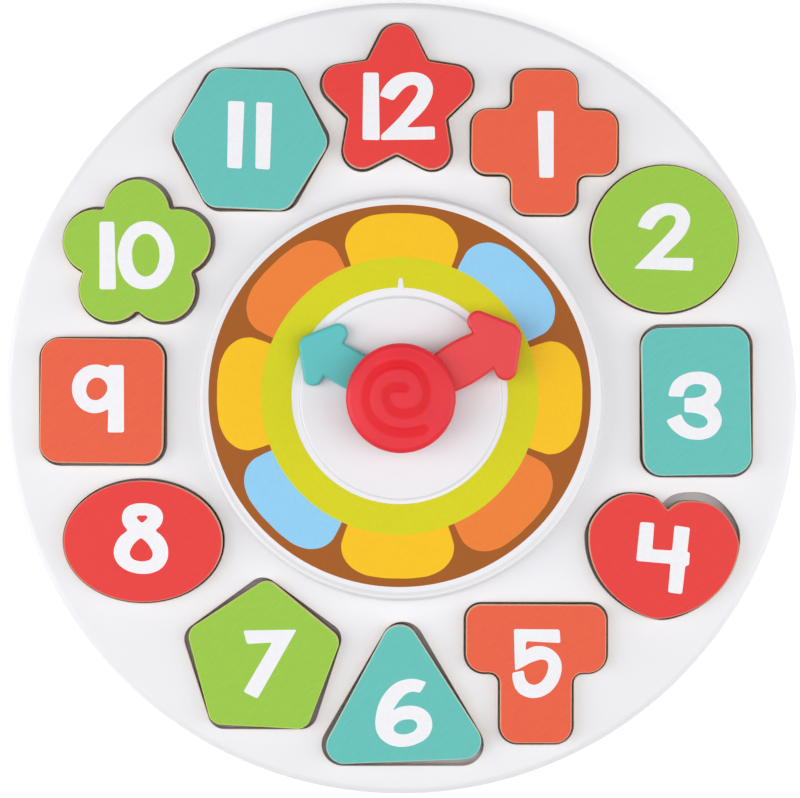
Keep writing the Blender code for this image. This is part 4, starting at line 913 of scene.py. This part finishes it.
# Numbers, as outlines drawn on an enlarged picture of each block: how many steps of the
# drawing make one point of the photograph, where the drawing's corner is in it, and the
# outlines
NUMBERS = {
    "block_01_cross": (6, 525, 100, [[(75, 66, 1), (172, 66, 1), (172, 466, 1), (86, 466, 1)]]),
    "block_02_circle": (6, 625, 195, [[
        (74, 188, 1), (102, 132), (152, 82), (212, 56), (277, 49), (342, 66), (380, 105), (391, 150),
        (377, 205), (337, 265), (282, 320), (223, 377, 1), (411, 378, 1), (406, 455, 1), (52, 441, 1),
        (192, 300), (262, 226), (297, 180), (304, 150), (295, 128), (272, 121), (232, 130), (202, 151),
        (182, 177), (158, 211, 1),
    ]]),
    "block_03_rectangle": (6, 655, 362, [[
        (78, 205, 1), (95, 144), (129, 100), (187, 69), (249, 58), (309, 63), (354, 82), (384, 115),
        (398, 165), (391, 208), (374, 238), (349, 258, 1), (374, 280), (391, 310), (400, 355), (385, 400),
        (350, 440), (299, 462), (239, 466), (179, 454), (129, 426), (89, 387), (67, 350, 1), (156, 311, 1),
        (169, 340), (194, 371), (229, 390), (268, 396), (304, 383), (316, 356), (302, 332), (264, 312),
        (214, 303), (176, 302, 1), (177, 215, 1), (214, 216), (259, 211), (294, 195), (308, 168),
        (294, 143), (264, 133), (224, 136), (194, 152), (176, 180), (170, 209, 1),
    ]]),
    "block_04_heart": (6, 585, 490, [[
        (331, 192, 1), (416, 198, 1), (404, 356, 1), (523, 363, 1), (537, 213, 1), (630, 226, 1),
        (613, 374, 1), (629, 375, 1), (624, 452, 1), (602, 455, 1), (582, 625, 1), (498, 614, 1),
        (514, 443, 1), (307, 425, 1),
    ]]),
    "block_05_tee": (6, 505, 620, [[
        (53, 54, 1), (328, 57, 1), (333, 138, 1), (127, 127, 1), (123, 183, 1), (160, 163), (205, 156),
        (255, 165), (300, 193), (330, 234), (340, 282), (330, 342), (300, 400), (250, 445), (185, 467),
        (120, 458), (73, 425), (49, 372), (42, 317, 1), (113, 302, 1), (118, 340), (135, 372), (165, 388),
        (200, 382), (235, 350), (255, 305), (260, 270), (248, 245), (222, 237), (190, 243), (150, 258),
        (107, 281), (60, 304, 1),
    ]]),
    "block_06_triangle": (6, 365, 670, [[
        (369, 72, 1), (331, 137, 1), (292, 130), (252, 140), (217, 170), (187, 210), (166, 243, 1),
        (202, 225), (252, 215), (302, 217), (352, 235), (387, 268), (403, 315), (397, 365), (367, 410),
        (312, 442), (242, 460), (172, 455), (117, 430), (77, 385), (62, 330), (67, 265), (87, 195),
        (127, 130), (182, 80), (242, 57), (302, 54),
    ], [
        (172, 352), (186, 325), (215, 304), (257, 296), (298, 304), (313, 330), (302, 358), (266, 380),
        (225, 386), (188, 376),
    ]]),
    "block_07_pentagon": (6, 235, 620, [[
        (50, 63, 1), (370, 58, 1), (135, 472, 1), (50, 430, 1), (223, 135, 1), (72, 144, 1),
    ]]),
    "block_08_oval": (6, 105, 495, [[
        (225, 49), (278, 56), (322, 77), (345, 112), (346, 150), (330, 185), (301, 213, 1), (340, 245),
        (369, 290), (379, 340), (370, 395), (337, 440), (285, 466), (225, 473), (160, 463), (103, 435),
        (65, 392), (53, 342), (65, 290), (95, 245), (137, 213, 1), (112, 180), (102, 145), (108, 105),
        (132, 73), (175, 54),
    ], [
        (195, 127), (222, 123), (250, 126), (254, 135), (240, 153), (222, 165), (204, 153), (192, 138),
    ], [
        (216, 255, 1), (248, 283), (273, 318), (286, 352), (275, 382), (240, 397), (200, 396), (164, 381),
        (149, 350), (160, 314), (185, 281),
    ]]),
    "block_09_square": (7, 30, 330, [[
        (549, 263, 1), (557, 245, 1), (656, 245, 1), (658, 717, 1), (544, 717, 1), (548, 552, 1),
        (510, 571), (460, 582), (400, 572), (345, 537), (308, 482), (294, 415), (305, 346), (345, 287),
        (400, 253), (460, 242), (510, 249),
    ], [
        (467, 333), (510, 347), (535, 378), (541, 412), (526, 450), (493, 481), (455, 491), (417, 476),
        (396, 441), (397, 397), (424, 351),
    ]]),
    "block_10_flower": (6, 92, 213, [[
        (45, 52, 1), (134, 52, 1), (144, 458, 1), (45, 458, 1),
    ], [
        (327, 49), (384, 62), (440, 107), (479, 170), (495, 245), (484, 320), (449, 390), (395, 440),
        (324, 457), (254, 445), (199, 404), (166, 340), (154, 262), (166, 185), (199, 115), (254, 65),
    ], [
        (326, 125), (369, 145), (396, 190), (405, 240), (399, 300), (374, 353), (329, 381), (289, 370),
        (255, 325), (241, 265), (246, 200), (274, 146),
    ]]),
    "block_11_hexagon": (6, 220, 92, [
        [(49, 53, 1), (147, 57, 1), (130, 460, 1), (43, 454, 1)],
        [(218, 60, 1), (314, 65, 1), (299, 466, 1), (212, 459, 1)],
    ]),
    "block_12_star": (7, 320, 20, [
        [(303, 368, 1), (411, 369, 1), (418, 841, 1), (297, 838, 1)],
        [
            (417, 530, 1), (442, 480), (490, 423), (550, 384), (620, 367), (690, 370), (747, 395),
            (781, 440), (790, 495), (770, 565), (720, 640), (660, 700), (606, 752, 1), (803, 745, 1),
            (805, 836, 1), (426, 840, 1), (428, 806, 1), (500, 738), (570, 665), (640, 576), (680, 512),
            (683, 475), (660, 455), (630, 457), (590, 478), (550, 520), (513, 564, 1),
        ],
    ]),
}

# The photograph's middle and the lens's reach, in the photograph's points, and the
# camera's height over the table
MIDDLE_X, MIDDLE_Y = 400.8, 398.2
CAMERA_HEIGHT = 1025.0
LENS_REACH = 2935.6
PICTURE_WIDTH = 800
SENSOR_WIDTH = 36.0


def on_toy(x, y, height):
    """The place on the toy, at a height, of a point of the photograph."""
    scale = (CAMERA_HEIGHT - height) / LENS_REACH
    return (x - MIDDLE_X) * scale, (MIDDLE_Y - y) * scale


def make_number(name):
    steps, left, top, outlines = NUMBERS[name]
    drawn = []
    for outline in outlines:
        points = []
        for knot in outline:
            spot = on_toy(left + knot[0] / steps, top + knot[1] / steps, BLOCK_TOP)
            points.append((*spot, *knot[2:]))
        drawn.append(points)
    return flat_drawing(f"number{name[5:8]}", drawn, BLOCK_TOP - 0.02, BLOCK_TOP + 0.04)


def make_blocks():
    for name, (outline, paint, _, _, _, lie, turn, stretch), x, y in pocket_places():
        points = placed(outline(0.0), x + lie[0], y + lie[1], turn, stretch)
        block = prism(f"{name}_board", points, BLOCK_BOTTOM, BLOCK_TOP)
        round_edges(block, at_height(BLOCK_TOP), 0.3)
        round_edges(block, at_height(BLOCK_BOTTOM), 0.4, 2)
        smooth(block, 35)
        weigh_normals(block)
        dress(block, name, [name], SLOTS[paint], BOARD_EDGE, PAINTS[paint], PAINT_EDGES_WITH_HIGHLIGHT[paint])
        for face in block.data.polygons:
            # Sides take the board, flat tops the print, and the rounded top edges the paler ink, which is
            # partly a painted highlight
            face.material_index = 0 if face.normal.z < 0.25 else 1 if face.normal.z > 0.985 else 2
        dress(make_number(name), name, None, SLOTS[paint], NUMBER_INK)


# Dial label

LABEL_CENTRE = (-0.4, 0.8)
LABEL_TURN = -0.76
PATCHES = ("yellow", "orange", "yellow", "blue") * 2


def label_ring(name, inner, outer, top):
    profile = [(inner, LABEL_BACK), (outer, LABEL_BACK), (outer, top), (inner, top)]
    ring = turned(name, profile, 160, LABEL_CENTRE)
    combine(ring, "DIFFERENCE", [prism("notch", tick(0.01), LABEL_BACK - 1, STICKER_TOP + 1)])
    return smooth(ring)


def make_label():
    ground = label_ring("label_ground", 36.8, 64.65, STICKER_TOP - 0.04)
    dress(ground, "base", ["dial_sticker"], "sticker", LABEL_BROWN)
    side = [
        (46.8, 120.0, 1), (50.0, 129.0), (54.2, 141.0), (56.4, 152.0), (51.2, 166.5), (37.0, 177.5),
        (17.5, 181.9),
    ]
    whole = side + [(0.0, 182.6)] + [(-knot[0], *knot[1:]) for knot in reversed(side)]
    scale = (CAMERA_HEIGHT - STICKER_TOP) / LENS_REACH
    for i, colour in enumerate(PATCHES):
        points = []
        for knot in whole:
            spot = placed([(knot[0] * scale, knot[1] * scale)], *LABEL_CENTRE, LABEL_TURN + 45 * i)[0]
            points.append((*spot, *knot[2:]))
        patch = flat_drawing(f"label_patch_{i + 1}", [points], STICKER_TOP - 0.05, STICKER_TOP - 0.02)
        dress(patch, "base", None, "sticker", PATCH_INKS[colour])
    dress(label_ring("label_lime_ring", 36.6, 46.95, STICKER_TOP), "base", None, "sticker", LABEL_LIME)


# Hands


def arrow(root, shaft, swell, barb, barb_round, nose, nose_round):
    """An arrow along +Y: a shaft that swells a little, and a head of three round lobes."""
    notch = barb[1] - barb_round + 0.15
    half = []
    for step in range(13):
        along = step / 12
        half.append((shaft + swell * math.sin(math.pi * along), root + (notch - root) * along))
    lean = math.degrees(math.atan2(nose - barb[1], -barb[0]))
    apart = math.hypot(barb[0], nose - barb[1])
    tangent = lean - math.degrees(math.acos((barb_round - nose_round) / apart))
    half += arc(barb, barb_round, -106, tangent, 20)
    half += arc((0, nose), nose_round, tangent, 90, 10)
    return half + [(-x, y) for x, y in reversed(half[:-1])]


def make_hand(name, node_name, body, slot, finish, outline, ring, bottom, top, degrees, edge):
    """A flat arrow turned to its hour, with a round ring that turns on the post."""
    hand = prism(name, placed(outline, 0, 0, degrees), bottom, top)
    combine(hand, "UNION", [rod("ring", ring, bottom, top, sides=96)])
    combine(hand, "DIFFERENCE", [rod("bore", HAND_BORE, bottom - 1, top + 1, sides=64)])
    round_edges(hand, at_height(top), edge, 5)
    round_edges(hand, at_height(bottom), 0.4, 2)
    smooth(hand, 40)
    weigh_normals(hand)
    dress(hand, body, [node_name], slot, finish)


def make_hands():
    hour = arrow(11.5, 6.5, 0.1, (8.3, 29.3), 3.35, 34.9, 4.1)
    make_hand(
        "hour_arrow", "hour_hand", "hour_hand_turning", "teal_plastic", HOUR_TEAL, hour, 13.5, 34.0, 37.2,
        60, 1.1,
    )
    minute = arrow(15.5, 7.1, 0.7, (9.3, 35.3), 3.7, 40.8, 5.2)
    make_hand(
        "minute_arrow", "minute_hand", "minute_hand_turning", "red_plastic", MINUTE_RED, minute,
        17.5, 38.3, 41.9, -60, 1.3,
    )


# Centre button

# The middle line of the pressed spiral, from its outer end inwards, as drawn on a picture
# of the button seven times enlarged, from the button's middle
SPIRAL = [
    (160, -222), (132, -232), (90, -240), (3, -247), (-87, -228), (-165, -176), (-220, -103), (-243, -13),
    (-232, 78), (-197, 157), (-137, 211), (-57, 238), (23, 241), (93, 217), (143, 167), (172, 97), (179, 27),
    (163, -33), (118, -83), (53, -108), (-7, -106), (-64, -80), (-100, -13), (-101, 42), (-67, 74), (-17, 80),
    (26, 76),
]
SPIRAL_STEP = 0.0476
SPIRAL_HALF_WIDTH = 1.65
SPIRAL_DEPTH = 0.18

# The cap: a shallow dome, a rounded rim and a skirt
DOME_RADIUS = 16.3
DOME_RISE = 1.5
DOME_STEPS = 75
RIM_ROUND = 2.1
SKIRT_INSIDE = 16.3
SKIRT_FOOT = 43.4


def spiral_points():
    """The spiral's middle line, filled in between its points."""
    knots = [Vector((x * SPIRAL_STEP, y * SPIRAL_STEP, 0)) for x, y in SPIRAL]
    points = []
    for i in range(len(knots) - 1):
        before, after = knots[max(i - 1, 0)], knots[min(i + 2, len(knots) - 1)]
        for step in range(10):
            t = step / 10
            a, b = knots[i], knots[i + 1]
            points.append(
                0.5 * ((2 * a) + (b - before) * t + (2 * before - 5 * a + 4 * b - after) * t**2
                       + (3 * a - before - 3 * b + after) * t**3)
            )
    return points + [knots[-1]]


def make_button():
    ball = (DOME_RADIUS**2 + DOME_RISE**2) / (2 * DOME_RISE)
    dome = []
    for step in range(DOME_STEPS, -1, -1):
        across = DOME_RADIUS * step / DOME_STEPS
        dome.append((across, BUTTON_TOP - ball + math.sqrt(ball**2 - across**2)))
    profile = [
        (0, 46.5), (3.1, 46.5), (3.1, 45.0), (SKIRT_INSIDE, 45.0), (SKIRT_INSIDE, SKIRT_FOOT),
        (18.2, SKIRT_FOOT), (18.4, 43.6),
        *arc((DOME_RADIUS, BUTTON_TOP - DOME_RISE - RIM_ROUND), RIM_ROUND, 0, 86, 10),
        *dome,
    ]
    button = turned("button_cap", profile, 200)
    line = spiral_points()
    tree = KDTree(len(line))
    for i, point in enumerate(line):
        tree.insert(point, i)
    tree.balance()
    pressed = button.data.attributes.new("pressed", "FLOAT", "POINT")
    for corner in button.data.vertices:
        if corner.co.z < 46.2 * MM or corner.co.xy.length > 17 * MM:
            continue
        away = tree.find((corner.co.x / MM, corner.co.y / MM, 0))[2]
        share = min(1, max(0, (SPIRAL_HALF_WIDTH + 0.6 - away) / 1.3))
        share *= share * (3 - 2 * share)
        corner.co.z -= SPIRAL_DEPTH * MM * share
        pressed.data[corner.index].value = share
    smooth(button, 50)
    dress(button, "button", ["centre_button"], "red_clear_plastic", BUTTON_RED)


def make_spring():
    """The coil under the cap."""
    coil, wire_radius, foot, head, turns = 3.8, 0.3, 32.24, 44.4, 6
    only()
    start = (coil * MM, 0, foot * MM)
    bpy.ops.mesh.primitive_circle_add(
        vertices=12, radius=wire_radius * MM, location=start, rotation=(math.radians(90), 0, 0)
    )
    spring = bpy.context.object
    spring.name = spring.data.name = "button_coil_spring"
    apply_place(spring)
    winding = spring.modifiers.new("winding", "SCREW")
    winding.angle, winding.iterations = math.tau, turns
    winding.screw_offset = (head - foot) / turns * MM
    winding.steps = winding.render_steps = 32
    bpy.ops.object.modifier_apply(modifier=winding.name)
    pick(spring, "edges", everything)
    bpy.ops.mesh.fill_holes(sides=0)
    face_outwards(spring)
    smooth(spring, 60)
    spring.data.materials.append(SCREW_STEEL)
    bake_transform(spring)
    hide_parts("button_spring")


# Screws and feet under the toy


def screw(name, tip):
    """A pan-headed screw with a cross in its head, standing on the head's face."""
    profile = [(0, SCREW_FACE), (1.9, SCREW_FACE), *arc((1.9, SCREW_FACE + 0.65), 0.65, 280, 360, 6)]
    shaft, thread, pitch = 1.0, 1.3, 0.8
    profile += [(2.55, SCREW_FACE + 1.0), (shaft, SCREW_FACE + 1.0)]
    height = SCREW_FACE + 1.4
    while height < tip - 1.6:
        profile += [(shaft, height), (thread, height + 0.25), (shaft, height + 0.5)]
        height += pitch
    made = turned(name, profile + [(shaft, tip - 0.9), (0, tip)], 32)
    bars = []
    for number, (across, along) in enumerate(((0.34, 1.45), (1.45, 0.34))):
        sides = [(across, along), (-across, along), (-across, -along), (across, -along)]
        bars.append(prism(f"cross_bar_{number}", sides, SCREW_FACE - 0.5, SCREW_FACE + 0.7))
    combine(made, "DIFFERENCE", bars)
    smooth(made, 35)
    return made


def make_screws():
    places = rim_places() + [(MIDDLE_SCREW, 0.0), (-MIDDLE_SCREW, 0.0)]
    first = screw("cover_screw_pattern", 11.3)
    for number, (x, y) in enumerate(places, start=1):
        made = copy_to(first, f"cover_screw_{number}_cross_head", x, y, 37 * number)
        dress(made, "base", [f"cover_screw_{number}"], "steel", SCREW_STEEL)
    bpy.data.objects.remove(first)
    short = screw("door_screw_pattern", 8.1)
    made = copy_to(short, "battery_door_screw_cross_head", 0, -15.25, 20)
    dress(made, "door", ["battery_door_screw"], "steel", SCREW_STEEL)
    bpy.data.objects.remove(short)


def make_feet():
    profile = [(0, 0.35), (4.4, 0.35), (4.8, 0.05), (5.0, 0.0)]
    profile += [*arc((7.0, 0.5), 0.5, 270, 355, 6), (7.5, 1.8), (0, 1.8)]
    first = turned("foot_pattern", profile, 64)
    smooth(first, 35)
    for number, (x, y) in enumerate(FEET, start=1):
        made = copy_to(first, f"rubber_foot_{number}_pad", x, y)
        dress(made, "base", [f"rubber_foot_{number}"], "rubber", RUBBER)
    bpy.data.objects.remove(first)


# Pieces kept as they are, in better finishes


def finish_kept_pieces():
    finishes = (
        (REAR_WHITE, ("rear_cover", "battery_door")),
        (WHITE_PLASTIC, ("hand_spacer", "hand_retainer", "button_stem")),
        (BOARD_GREEN, ("circuit_board",)),
        (SWITCH_BLACK, ("tact_switch",)),
        (CONE_PAPER, ("speaker_cone",)),
        (KNOB_GREY, ("power_switch_knob",)),
        (LAMP_CLEAR, ("button_lamp",)),
        (SCREW_STEEL, ("board_screw", "button_clip", "speaker_frame", "speaker_magnet", "power_switch_body")),
        (NICKEL, ("battery_spring", "contact")),
        (CELL_JACKET, ("battery_1", "battery_2")),
    )
    for name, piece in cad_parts.items():
        if piece.hide_render:
            continue
        finish = next(finish for finish, starts in finishes if name.startswith(starts))
        if not piece.material_slots:
            piece.data.materials.append(finish)
        for slot in piece.material_slots:
            slot.material = finish


# Camera, lights and floor


def make_stage():
    only()
    bpy.ops.object.camera_add(location=(-0.00027, -0.00027, CAMERA_HEIGHT * MM), rotation=(0, 0, 0))
    camera = bpy.context.object
    camera.data.sensor_width = SENSOR_WIDTH
    camera.data.lens = SENSOR_WIDTH * LENS_REACH / PICTURE_WIDTH
    camera.data.clip_start, camera.data.clip_end = 0.05, 20
    bpy.context.scene.camera = camera
    for name, place, width, depth, power in (
        ("left", (-0.90, -0.10, 0.65), 0.8, 1.2, 8.0),
        ("right", (0.90, -0.10, 0.65), 0.8, 1.2, 6.6),
        ("overhead", (0.0, -0.15, 1.90), 1.6, 1.6, 9.6),
    ):
        bpy.ops.object.light_add(type="AREA", location=place)
        lamp = bpy.context.object
        lamp.name = f"softbox_{name}"
        lamp.data.shape, lamp.data.size, lamp.data.size_y = "RECTANGLE", width, depth
        lamp.data.energy = power
        lamp.rotation_euler = (-Vector(place)).to_track_quat("-Z", "Y").to_euler()
    world = bpy.data.worlds.new("studio")
    world.use_nodes = True
    sky = world.node_tree.nodes["Background"].inputs
    sky["Color"].default_value = grey(1)
    sky["Strength"].default_value = 0.21
    bpy.context.scene.world = world
    bpy.ops.mesh.primitive_plane_add(size=8, location=(0, 0, FLOOR * MM))
    floor = bpy.context.object
    floor.name = "floor"
    paper = new_finish("floor_paper", grey(0.93), 0.9, Emission_Color=grey(1), Emission_Strength=0.25)
    floor.data.materials.append(paper)
    view = bpy.context.scene.view_settings
    view.view_transform, view.look = "Standard", "None"
    view.exposure, view.gamma = 0.0, 1.0


make_shell()
make_blocks()
make_label()
make_hands()
make_button()
make_spring()
make_screws()
make_feet()
finish_kept_pieces()
make_stage()
